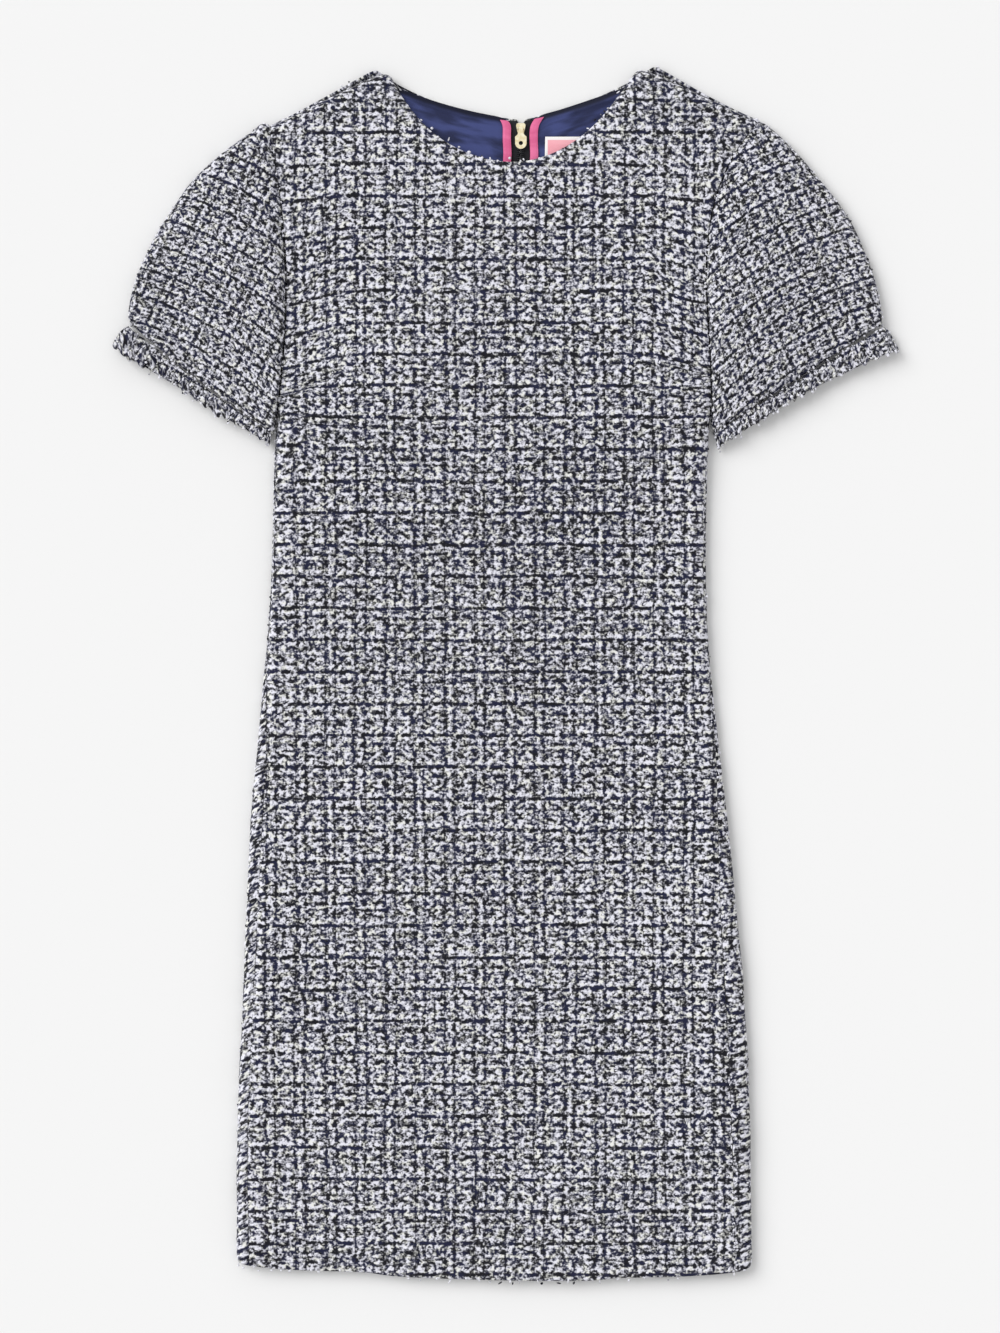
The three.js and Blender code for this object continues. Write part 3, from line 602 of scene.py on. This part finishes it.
def sunk(distance, depth, width):
    return -depth * np.exp(-((distance / width) ** 2))


def rumple(co, size, height, seed):
    """Slow, soft unevenness of cloth that lies free."""
    shift = Vector((seed, 2 * seed, 0))
    return np.array([noise.noise(Vector(p) / size + shift) for p in co]) * height


SEAM_WIDTH = 2.6 * MM  # how far from a seam the cloth has come up again


def front_shape(mesh, co, out):
    """Sunk along its seams and along both darts, with a little fullness beside the darts."""
    distance, _ = near(co, np.concatenate(rim_of(mesh)))
    push = sunk(distance, 1.2 * MM, SEAM_WIDTH)
    push += rumple(co, 0.05, 0.8 * MM, 3) + rumple(co, 0.02, 0.25 * MM, 7)
    for armhole, tip in DARTS:
        beside, along, _ = to_segment(co, armhole, tip)
        push += sunk(beside, 2.2 * MM, 2.2 * MM) * (1 - along ** 2)
        push += 0.9 * MM * np.exp(-((beside / (9 * MM)) ** 2)) * (1 - along)
    return co + out * push[:, None]


def back_shape(mesh, co, out):
    """As the front, but still only where it rises off the floor."""
    distance, _ = near(co, np.concatenate(rim_of(mesh)))
    above = soft_step((co[:, 2] - 2 * MM) / (4 * MM))
    push = (sunk(distance, 1.0 * MM, SEAM_WIDTH) + rumple(co, 0.03, 0.5 * MM, 5)) * above
    return co + out * push[:, None]


print("darts:", [round(math.dist(*dart)) for dart in DARTS], "mm long")

# %% [markdown]
# A puff sleeve is cut wider than its armhole and its cuff and gathered into both with a
# running thread. The folds are narrow at the seam and fade over a few centimetres. The cuff
# is a short ruffle of double cloth, sewn on at its upper edge only, so its free edge waves
# both up and down and in and out, with folds about 8 mm apart that are never the same.


# %% Gathered sleeves and ruffled cuffs
HEAD_KNOT = np.array([-183, 411, 7]) * MM  # the left sleeve's gathers bunch up here, at its head
CUFF_LOBE = np.array([-281, 243]) * MM  # the left cuff hangs over in a round lobe at its outer end


def sleeve_shape(seed):
    """Gathers from the armhole's upper part and from the cuff, and a soft rumpled puff."""
    def shape(mesh, co, out):
        armhole, cuff = sorted(rim_of(mesh), key=lambda loop: np.abs(loop[:, 0]).mean())
        at_head, head_run = near(co, armhole)
        at_cuff, cuff_run = near(co, cuff)
        upper = soft_step((co[:, 1] - 215 * MM) / (60 * MM))
        head_folds = uneven_wave(head_run, 9 * MM, seed) * np.exp(-at_head / (17 * MM)) * upper
        cuff_folds = uneven_wave(cuff_run, 8 * MM, seed + 1) * np.exp(-at_cuff / (15 * MM))
        push = 1.2 * MM * head_folds + 1.5 * MM * cuff_folds
        push += sunk(at_head, 1.3 * MM, 2.4 * MM) + sunk(at_cuff, 1.8 * MM, 2.4 * MM)
        push -= sunk(np.linalg.norm(co - HEAD_KNOT, axis=1), 2.4 * MM, 6 * MM)
        push += rumple(co, 0.035, 1.8 * MM, seed)
        push *= soft_step((co[:, 2] - 0.3 * MM) / (4 * MM))
        return co + out * push[:, None]
    return shape


RUFFLE = (1.9 * MM, 3.0 * MM)  # how far the free edge waves out and down


def cuff_shape(seed):
    """Waves that open from the seam to the free edge, and a lobe at the left cuff's end."""
    def shape(mesh, co, out):
        sewn = max(rim_of(mesh), key=lambda loop: loop[:, 1].mean())
        at_seam, run = near(co, sewn)
        open_out = soft_step(at_seam / (9 * MM))
        wave = uneven_wave(run, 7.5 * MM, seed)
        side_wave = uneven_wave(run, 8.0 * MM, seed + 3) * soft_step(co[:, 2] / (4 * MM))
        push = RUFFLE[0] * wave * open_out + sunk(at_seam, 1.3 * MM, 2.0 * MM)
        push *= soft_step((co[:, 2] + 1.0 * MM) / (5 * MM))
        moved = co + out * push[:, None]
        moved[:, 1] += RUFFLE[1] * side_wave * open_out
        at_lobe = np.linalg.norm(co[:, :2] - CUFF_LOBE, axis=1)
        moved[:, 1] += sunk(at_lobe, 4.5 * MM, 7 * MM)
        moved[:, 2] = np.maximum(moved[:, 2], 0.1 * MM)
        return moved
    return shape


print(f"cuff edges wave {RUFFLE[0] / MM:.1f} mm out and {RUFFLE[1] / MM:.1f} mm down")

# %% [markdown]
# Seven pieces of tweed are cut: the front, two backs, two sleeves and two cuffs. Each is laid
# on the cloth in its own place, so the pattern does not match from piece to piece. The
# numbers after a side are that place on the cloth, in millimetres, and on the backs how much
# the cloth was laid askew. The cuffs crowd their threads, since gathers take up cloth.

# %% The tweed pieces
front = sheet_of("front", front_grain, front_shape)
back_left = sheet_of("back_left", back_grain("left", (7, 9), -0.5), back_shape)
back_right = sheet_of("back_right", back_grain("right", (3, -8), 0.2), back_shape)
sleeve_left = sheet_of("sleeve_left", sleeve_grain("left", (50, 4)), sleeve_shape(11))
sleeve_right = sheet_of("sleeve_right", sleeve_grain("right", (20, 12)), sleeve_shape(21))
cuff_left = sheet_of("cuff_left", sleeve_grain("left", (80, 9), 1.5), cuff_shape(31))
cuff_right = sheet_of("cuff_right", sleeve_grain("right", (90, 15), 1.5), cuff_shape(41))
BACKS = (back_left, back_right)
FLAT_PIECES = (front, *BACKS)
TWEED_PIECES = (*FLAT_PIECES, sleeve_left, sleeve_right, cuff_left, cuff_right)

# %% [markdown]
# No length of cloth is even. The yarn takes dye a little darker or lighter for a hand's
# width, and washing fades it unevenly. A painter would glaze such patches over the finished
# cloth. Some of the patches here are painted shade as well, darker where the cloth turns away
# from the light. All are soft round spots, kept on each point of the cloth as a number named
# tone_and_shade, which the material multiplies in. The darts get a thin dark line in the same
# way, painted shade in the crease of each sunk dart.

# %% Dye tone and painted shade of the cloth
# Patches of dye tone and painted shade: place, reach both ways, in millimetres, and amount.
TONE_AND_SHADE_PATCHES = [(250, 300, 60, 90, -0.07), (-275, 270, 45, 50, -0.10), (130, 425, 60, 40, -0.12),
          (-90, 440, 30, 20, -0.10), (160, 50, 25, 130, 0.09), (-185, -130, 25, 90, 0.10),
          (0, -430, 260, 110, -0.06), (110, -380, 60, 60, -0.04), (-90, -200, 30, 60, -0.06),
          (0, 60, 150, 170, -0.11), (0, 300, 110, 70, -0.04)]


def tone_and_shade_at(co):
    tone_and_shade = np.ones(len(co))
    for x, y, wide, long, change in TONE_AND_SHADE_PATCHES:
        away = ((co[:, 0] / MM - x) / wide) ** 2 + ((co[:, 1] / MM - y) / long) ** 2
        tone_and_shade += change * np.exp(-away)
    # Painted shade: a thin dark line down the crease of each dart.
    for armhole, tip in DARTS:
        beside, along, _ = to_segment(co, armhole, tip)
        tone_and_shade -= 0.25 * np.exp(-((beside / (2 * MM)) ** 2)) * (1 - along ** 3)
    return tone_and_shade


for piece in TWEED_PIECES:
    piece.data.materials.clear()
    piece.data.materials.append(TWEED)
    layer = piece.data.attributes.new("tone_and_shade", "FLOAT", "POINT")
    shades = tone_and_shade_at(points(piece.data)).astype(np.float32)
    layer.data.foreach_set("value", shades)
    print(f"{piece.name}: tone {shades.min():.2f} to {shades.max():.2f}")

# %% [markdown]
# A printed pattern would be smooth at the edges of the dress. In boucle the white yarn really
# stands up where it floats, so each pale float of the draft gets a small soft nub of yarn on
# the cloth, and a few dark ones lie between. They are low and few-sided, because there are
# thousands. None lie under the dress, which rests flat.


# %% Nubs of yarn
def tangents(mesh):
    """For each patch: its centre on the cloth and on the grain map, its normal, and the cloth's
    directions along both axes of the map, in metres for each millimetre."""
    count = len(mesh.polygons)
    first = np.empty(count, int)
    mesh.polygons.foreach_get("loop_start", first)
    corner = np.empty(len(mesh.loops), int)
    mesh.loops.foreach_get("vertex_index", corner)
    uv = np.empty(len(mesh.loops) * 2)
    mesh.uv_layers["grain"].data.foreach_get("uv", uv)
    uv = uv.reshape(-1, 2)
    co = points(mesh)
    a, b, d = (co[corner[first + k]] for k in (0, 1, 3))
    ua, ub, ud = (uv[first + k] for k in (0, 1, 3))
    e1, e2, d1, d2 = b - a, d - a, ub - ua, ud - ua
    det = d1[:, 0] * d2[:, 1] - d1[:, 1] * d2[:, 0]
    det = np.where(np.abs(det) < 1e-6, 1e-6, det)[:, None]
    along_u = (e1 * d2[:, 1:] - e2 * d1[:, 1:]) / det
    along_v = (e2 * d1[:, :1] - e1 * d2[:, :1]) / det
    out = np.empty(count * 3)
    mesh.polygons.foreach_get("normal", out)
    return a + (e1 + e2) / 2, ua + (d1 + d2) / 2, out.reshape(-1, 3), along_u, along_v


def float_places(low, high, chance):
    """Places on the grain map of the draft's floats, repeat after repeat, with their sizes."""
    for i in range(math.floor(low[0] / REPEAT_ACROSS) - 1, math.ceil(high[0] / REPEAT_ACROSS) + 1):
        for j in range(math.floor(low[1] / REPEAT_ALONG) - 1,
                       math.ceil(high[1] / REPEAT_ALONG) + 2):
            for across, along, half_width, half_height, level in DRAFT:
                if level < 0.2 and chance.random() < 0.6:
                    continue
                at = (across + i * REPEAT_ACROSS + chance.normal(0, 0.7),
                      along + j * REPEAT_ALONG + chance.normal(0, 0.6))
                size = (half_width * chance.uniform(0.35, 0.75),
                        half_height * chance.uniform(0.4, 0.8))
                yield at, size, min(1.0, max(0.0, 0.55 + level + chance.normal(0, 0.12)))


TOO_FAR = 3.4  # millimetres off the piece's own grain map
LEAST, MOST = 0.4 * MM, 1.7 * MM  # of cloth for a millimetre of the map, else it is folded over


def nubs_on(piece, seed, proud):
    """The piece's nubs, as one object. They stand `proud` times their own height."""
    chance = np.random.default_rng(seed)
    centre, on_map, facing, along_u, along_v = tangents(piece.data)
    tone_and_shade = tone_and_shade_at(centre)
    # No yarn is raised underneath, nor inside the neck.
    bare = (centre[:, 2] < 1.8 * MM) | ((facing[:, 2] < -0.35) & (centre[:, 2] < 3 * MM))
    if piece in BACKS:
        bare |= (centre[:, 2] < MIDDLE) & (centre[:, 1] > UNDERARM)
    tree = kdtree.KDTree(len(on_map))
    for k in np.flatnonzero(~bare):
        tree.insert((*on_map[k], 0), int(k))
    tree.balance()
    made, lightness_and_shade, batch = bmesh.new(), [], bmesh.new()
    lent = bpy.data.meshes.new("batch")

    def gather():
        batch.to_mesh(lent)
        batch.clear()
        made.from_mesh(lent)

    for (u, v), (wide, high), light in float_places(on_map.min(0), on_map.max(0), chance):
        turn, up = chance.normal(0, 0.3), chance.uniform(0.4, 1.05) * proud
        _, k, distance = tree.find((u, v, 0))
        if distance > TOO_FAR:
            continue
        du, dv = Vector(along_u[k]), Vector(along_v[k])
        out = Vector(facing[k])
        at = Vector(centre[k]) + du * (u - on_map[k][0]) + dv * (v - on_map[k][1])
        if at.z < 1.5 * MM or min(du.length, dv.length) < LEAST or max(du.length, dv.length) > MOST:
            continue
        x = (du.normalized() * math.cos(turn) + dv.normalized() * math.sin(turn)).normalized()
        y = out.cross(x)
        place = Matrix((x * wide * MM, y * high * MM, out * up * MM)).transposed().to_4x4()
        place.translation = at - out * 0.12 * MM
        bmesh.ops.create_icosphere(batch, subdivisions=1, radius=1, matrix=place)
        # Each nub's lightness takes the cloth's dye tone and painted shade under it.
        lightness_and_shade.append(light * tone_and_shade[k])
        if len(batch.faces) > 2000:
            gather()
    gather()
    mesh = bpy.data.meshes.new(piece.name.replace("_cloth", "_nubs"))
    made.to_mesh(mesh)
    made.free()
    batch.free()
    bpy.data.meshes.remove(lent)
    sides = len(mesh.polygons) // len(lightness_and_shade)
    yarn = mesh.attributes.new("yarn", "FLOAT", "FACE")
    yarn.data.foreach_set("value", np.repeat(np.array(lightness_and_shade, np.float32), sides))
    mesh.shade_smooth()
    nubs = bpy.data.objects.new(mesh.name, mesh)
    scene.collection.objects.link(nubs)
    nubs.data.materials.append(YARN)
    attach(nubs, "dress")
    print(f"{nubs.name}: {len(lightness_and_shade)} nubs, {len(mesh.polygons)} triangles")
    return nubs


def yarn_finish():
    material = bpy.data.materials.new("boucle_yarn")
    material.use_nodes = True
    graph = material.node_tree
    shader = graph.nodes["Principled BSDF"]
    shader.inputs["Roughness"].default_value = 0.9
    shader.inputs["Specular IOR Level"].default_value = 0.2
    # The yarn attribute is each nub's lightness, with the painted shade of the cloth multiplied in.
    yarn = node(graph, "ShaderNodeAttribute", attribute_name="yarn").outputs["Fac"]
    where = node(graph, "ShaderNodeTexCoord").outputs["Object"]
    hairs = blobs(graph, where, 900.0, 1.0)
    light = leaned(graph, yarn, hairs, 0.50)
    shade = calc(graph, "POWER", ramp(graph, light, 0.0, 1.0), 1.7)
    colour = mixed(graph, shade, rgb("171722"), rgb("e4e4ec"))
    graph.links.new(colour, shader.inputs["Base Color"])
    bump = node(graph, "ShaderNodeBump", {"Height": hairs, "Distance": 0.3 * MM, "Strength": 0.4})
    graph.links.new(bump.outputs[0], shader.inputs["Normal"])
    return material


YARN = yarn_finish()
for seed, piece in enumerate(TWEED_PIECES, 100):
    # Gathered cloth lets its yarn stand up more than cloth that lies flat.
    nubs_on(piece, seed, 1.1 if piece in FLAT_PIECES else 1.7)

# %% [markdown]
# Inside the back neck shows the lining: thin navy satin, whose long floats shine in soft
# slanting streaks where it is a little slack. That shine is painted sheen, lighter streaks in
# the satin's colour. Its upper edge is turned and stitched to the tweed, and painted shade
# darkens the satin along that edge. Bias-cut pink ribbon binds the raw edges beside the zip,
# and the zip itself is two woven tapes with a row of moulded teeth on each. All are sheets
# that lie on the back, so they come from the slabs of the model in the same way as the tweed.


# %% Finishes inside the neck
def along_top(loops, reach=4 * MM):
    """The points of a rim that make its upper edge."""
    rim = np.concatenate(loops)
    crest = np.array([rim[np.abs(rim[:, 0] - p[0]) < reach, 1].max() for p in rim])
    return rim[rim[:, 1] > crest - reach * 0.6]


def depth_grain(mesh, co):
    """The grain of a piece that hangs from the neck edge: across it, and down from that edge."""
    depth, _ = near(co, along_top(rim_of(mesh)))
    return np.stack([co[:, 0], depth], 1) / MM


def woven(name, dark, light, pitch, slant, roughness, relief, sheen_streaks=0.0, seam=0.0, gloss=0.4):
    """A fine woven finish: ribs of `pitch` mm at `slant` radians, with soft lighter bands of
    painted sheen over them as strong as `sheen_streaks`, and painted shade down to `seam` mm from
    the neck edge."""
    material = bpy.data.materials.new(name)
    material.use_nodes = True
    graph = material.node_tree
    shader = graph.nodes["Principled BSDF"]
    shader.inputs["Roughness"].default_value = roughness
    shader.inputs["Specular IOR Level"].default_value = gloss
    grain = node(graph, "ShaderNodeUVMap", uv_map="grain").outputs[0]
    turned = node(graph, "ShaderNodeMapping", {"Vector": grain, "Rotation": (0, 0, slant)})
    # Blender's wave repeats 20 times in 2 pi units, hence the odd number.
    wave = {"Vector": turned.outputs[0], "Scale": 0.31416 / pitch, "Distortion": 0.6,
            "Detail Scale": 2.0}
    ribs = node(graph, "ShaderNodeTexWave", wave).outputs["Fac"]
    long_and_thin = {"Vector": grain, "Rotation": (0, 0, 0.7), "Scale": (0.028, 0.11, 1.0)}
    folds = node(graph, "ShaderNodeMapping", long_and_thin).outputs[0]
    streak = blobs(graph, folds, 1.0, 2.5)
    fleck = blobs(graph, grain, 1.4, 2.0)
    # Lighter slanting bands, as strong as sheen_streaks, are painted sheen; the ribs and flecks are
    # the weave's own colour.
    share = calc(graph, "MULTIPLY_ADD", ramp(graph, streak, 0.38, 0.64), sheen_streaks,
                 calc(graph, "MULTIPLY_ADD", ribs, 0.2, calc(graph, "MULTIPLY", fleck, 0.35)))
    # Painted shade: within `seam` mm of the neck edge the colour stays dark.
    if seam:
        down = node(graph, "ShaderNodeSeparateXYZ", {"Vector": grain}).outputs["Y"]
        share = calc(graph, "MULTIPLY", share, ramp(graph, down, seam * 0.6, seam * 1.5))
    colour = mixed(graph, share, rgb(dark), rgb(light))
    graph.links.new(colour, shader.inputs["Base Color"])
    bump = node(graph, "ShaderNodeBump", {"Height": ribs, "Distance": relief * MM, "Strength": 0.5})
    graph.links.new(bump.outputs[0], shader.inputs["Normal"])
    return material


# The satin's lighter streaks are painted sheen, and its dark band at the neck edge is painted
# shade.
SATIN = woven("navy_satin", "0c1026", "3f487a", 0.45, 0.8, 0.45, 0.05,
              sheen_streaks=0.8, seam=1.9, gloss=0.2)
# The ribbon's lighter streaks are painted sheen as well.
RIBBON = woven("pink_ribbon", "c8487c", "f884b2", 0.7, 1.5708, 0.6, 0.16, sheen_streaks=0.35)
ZIP_TAPE = woven("black_tape", "08080c", "24252f", 0.8, 0.7, 0.8, 0.15)
print("woven finishes:", SATIN.name, RIBBON.name, ZIP_TAPE.name)

# %% [markdown]
# The label is a small piece of woven ribbon: a pale pink field inside a white selvage. It
# stays bare, since the part carries no name. The white margin is a mask on the label's own
# grain map, measured in millimetres from its nearest edge.


# %% Label finish
MARGIN = 2.4  # millimetres of white selvage


def label_finish(width, height):
    """Pink in the middle, white within MARGIN of the nearest edge."""
    # Its lighter streaks, like the ribbon's, are painted sheen.
    material = woven("label_weave", "f09aa8", "ffc8cf", 0.5, 0.0, 0.7, 0.05, sheen_streaks=0.3)
    graph = material.node_tree
    shader = graph.nodes["Principled BSDF"]
    field = shader.inputs["Base Color"].links[0].from_socket
    grain = next(n for n in graph.nodes if n.bl_idname == "ShaderNodeUVMap").outputs[0]
    spot = node(graph, "ShaderNodeSeparateXYZ", {"Vector": grain})
    inside = []
    for axis, size in (("X", width), ("Y", height)):
        off = calc(graph, "ABSOLUTE", calc(graph, "SUBTRACT", spot.outputs[axis], size / 2))
        inside.append(calc(graph, "SUBTRACT", size / 2 - MARGIN, off))
    mask = ramp(graph, calc(graph, "MINIMUM", *inside), -0.15, 0.15)
    graph.links.new(mixed(graph, mask, rgb("f4f1f0"), field), shader.inputs["Base Color"])
    print(f"label {width:.1f} x {height:.1f} mm")
    return material


print("label margin", MARGIN, "mm")


# %% [markdown]
# The lining is a little slack below its stitched edge, so it lies in low slanting waves, and
# at the neck it turns over the edge of the tweed and is sewn down. The ribbon that binds the
# raw edges is fed by hand and wanders from side to side.


# %% Shapes inside the neck
TURN = (2.1 * MM, 0.9 * MM)  # of the lining at the neck edge: up over it, and down


def lining_shape(seed):
    """Low slack waves, a raised line of stitching, and the turn over the neck edge."""
    def shape(mesh, co, out):
        from_top, _ = near(co, along_top(rim_of(mesh)))
        slant = (co[:, 0] * 0.6 + co[:, 1] * 0.8) / MM
        slack = soft_step(from_top / (14 * MM))
        waves = np.array([noise.noise(Vector((w / 9.0, p[0] / (60 * MM), seed)))
                          for w, p in zip(slant, co)])
        push = 0.9 * MM * waves * slack - sunk(from_top - 3.2 * MM, 0.3 * MM, 1.0 * MM)
        moved = co + out * np.maximum(push, -0.15 * MM)[:, None]
        turned = np.exp(-((from_top / (1.5 * MM)) ** 2))
        moved[:, 1] += TURN[0] * turned
        moved[:, 2] -= TURN[1] * turned
        return moved
    return shape


def ribbon_shape(mesh, co, out):
    """Bound edges stand a little proud in the middle and wander as they were sewn."""
    at_edge, _ = near(co, np.concatenate(rim_of(mesh)))
    moved = co + out * (0.35 * MM * soft_step(at_edge / (2 * MM)))[:, None]
    moved[:, 0] += 0.35 * MM * np.sin(co[:, 1] / (5.5 * MM)) + rumple(co, 0.012, 0.3 * MM, 4)
    return moved


def inner(name, material, shape=None, wall=1 * MM, thick=0.6 * MM, levels=3):
    """A piece inside the dress: the upper skin of its slab, its grain counted from the neck."""
    piece = sheet_of(name, lambda co, out: co[:, :2] / MM, None, levels, wall, thick, level=0)
    mesh = piece.data
    lay_grain(mesh, depth_grain(mesh, points(mesh)))
    if shape:
        press(mesh, shape)
    mesh.materials.clear()
    mesh.materials.append(material)
    return piece


print(f"the lining turns {TURN[0] / MM:.1f} mm over the edge and {TURN[1] / MM:.1f} mm down")

# %% [markdown]
# The pieces are made in turn: linings, bound edges, the tapes of the zip, and the label last.
# The label gets its finish after it is made, because the white margin of that finish needs
# the label's size. Until then it wears the finish of the tape.

# %% The pieces inside the neck
linings = [inner("lining_left", SATIN, lining_shape(2)),
           inner("lining_right", SATIN, lining_shape(5))]
bindings = [inner("binding_" + side, RIBBON, ribbon_shape) for side in SIGN]
tapes = [inner("zip_tape_" + side, ZIP_TAPE, levels=2) for side in SIGN]
label = inner("label", ZIP_TAPE, None, 0.6 * MM, 0.5 * MM)
spots = points(label.data)
low, high = spots.min(0), spots.max(0)
lay_grain(label.data, (spots - low)[:, :2] / MM)
label.data.materials[0] = label_finish(*((high - low)[:2] / MM))

# %% [markdown]
# A moulded or coiled zip is one small tooth repeated along each tape, and the two rows stand
# half a step apart so that they mesh. Below the slider the rows lie together, and above it
# they part with the tapes. Each tooth is a bar with a rounded head, modelled once.


# %% Zip teeth
TOOTH_STEP = 1.5 * MM
TOOTH = (2.2 * MM, 0.75 * MM, 1.0 * MM)  # along, across and through the zip
COIL_WALL = 1.4 * MM


def one_tooth(sign):
    """A bar 2.2 mm long with a swollen head at the end that meets the other row."""
    bm = bmesh.new()
    bmesh.ops.create_cube(bm, size=1.0)
    bmesh.ops.scale(bm, verts=bm.verts, vec=TOOTH)
    head = [v for v in bm.verts if v.co.x * sign < 0]
    bmesh.ops.scale(bm, verts=head, vec=(1.0, 1.25, 1.15))
    bmesh.ops.bevel(bm, geom=bm.edges[:], offset=0.22 * MM, offset_type="OFFSET", segments=1,
                    profile=0.5, affect="EDGES", material=-1)
    tooth = bpy.data.meshes.new("one_tooth")
    bm.to_mesh(tooth)
    bm.free()
    return tooth


def teeth(side):
    """The row of teeth of one side, along the middle line of the coil's slab."""
    sign = SIGN[side]
    skin = skin_of("zip_coil_" + side, COIL_WALL, 0)
    line = np.array(sorted((tuple(v.co) for v in skin.verts), key=lambda p: p[1])).reshape(-1, 2, 3)
    skin.free()
    middle = line.mean(1)
    row, tooth = bmesh.new(), one_tooth(sign)
    start, stop = middle[0, 1] + TOOTH_STEP, middle[-1, 1] - 0.3 * MM
    count = int((stop - start) / TOOTH_STEP)
    for k in range(count):
        y = start + (k + (0.5 if side == "left" else 0.0)) * TOOTH_STEP
        x, z = (np.interp(y, middle[:, 1], middle[:, axis]) for axis in (0, 2))
        first = len(row.verts)
        row.from_mesh(tooth)
        row.verts.ensure_lookup_table()
        bmesh.ops.translate(row, verts=row.verts[first:], vec=(x, y, z - 0.45 * MM))
    mesh = bpy.data.meshes.new("zip_teeth_" + side)
    row.to_mesh(mesh)
    row.free()
    bpy.data.meshes.remove(tooth)
    piece = bpy.data.objects.new(mesh.name, mesh)
    scene.collection.objects.link(piece)
    piece.data.materials.append(TEETH)
    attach(piece, "dress")
    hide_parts("zip_coil_" + side)
    print(f"{piece.name}: {count} teeth, {len(mesh.polygons)} faces")


TEETH = plain("dark_teeth", rgb("17181d"), 0.35)
for side in SIGN:
    teeth(side)

# %% [markdown]
# The slider and its tab are small castings plated in pale gold, then tumbled: the plating is
# nearly even, a touch duller in patches, with fine scratches that follow no direction. The
# model already has their shape, so here they only get that finish. It is made once and laid
# on both, in object coordinates, which move with the tab when it swings.


# %% Pale gold
def pale_gold():
    material = bpy.data.materials.new("pale_gold_plate")
    material.use_nodes = True
    graph = material.node_tree
    shader = graph.nodes["Principled BSDF"]
    shader.inputs["Metallic"].default_value = 0.6
    where = node(graph, "ShaderNodeTexCoord").outputs["Object"]
    patches = blobs(graph, where, 420.0, 3.0)
    scratches = blobs(graph, where, 3000.0, 2.0)
    colour = mixed(graph, ramp(graph, patches, 0.3, 0.7), rgb("ecdcb0"), rgb("fbf3d6"))
    graph.links.new(colour, shader.inputs["Base Color"])
    graph.links.new(calc(graph, "MULTIPLY_ADD", patches, 0.25, 0.28), shader.inputs["Roughness"])
    relief = {"Height": scratches, "Distance": 0.03 * MM, "Strength": 0.5}
    bump = node(graph, "ShaderNodeBump", relief)
    graph.links.new(bump.outputs[0], shader.inputs["Normal"])
    return material


GOLD = pale_gold()
for name in ("zip_slider", "zip_pull"):
    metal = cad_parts[name]
    metal.data.materials.clear()
    metal.data.materials.append(GOLD)
    print(name, "plated")

# %% [markdown]
# Every piece of cloth was flat before it was sewn. This table says how big each one was and
# how it lies now, measured along the cloth, so that whoever reuses the dress can check that
# no piece was stretched. Gathered pieces are counted as they are after gathering.

# %% Sheets of cloth
# Each row: the piece, the size it is cut to, how it is held, and what it lies on.
CUTS = [
    (front, (0.44, 0.95), 0.36, "laid", ["back_left", "back_right"]),
    (back_left, (0.25, 0.95), 0.20, "laid", []),
    (back_right, (0.25, 0.95), 0.20, "laid", []),
    (sleeve_left, (0.38, 0.17), 0.044, "gathered", []),
    (sleeve_right, (0.38, 0.17), 0.044, "gathered", []),
    (cuff_left, (0.29, 0.019), 0.0052, "gathered", []),
    (cuff_right, (0.29, 0.019), 0.0052, "gathered", []),
    (linings[0], (0.10, 0.09), 0.0060, "laid", ["back_left"]),
    (linings[1], (0.10, 0.09), 0.0055, "laid", ["back_right"]),
    (bindings[0], (0.0125, 0.074), 0.00046, "laid", ["lining_left"]),
    (bindings[1], (0.0125, 0.074), 0.00046, "laid", ["lining_right"]),
    (tapes[0], (0.012, 0.470), 0.0043, "laid", ["back_left"]),
    (tapes[1], (0.012, 0.470), 0.0043, "laid", ["back_right"]),
    (label, (0.0335, 0.0254), None, "laid", ["lining_right"]),
]
for piece, flat, area, held, below in CUTS:
    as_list(below)
print(len(CUTS), "sheets of cloth declared")
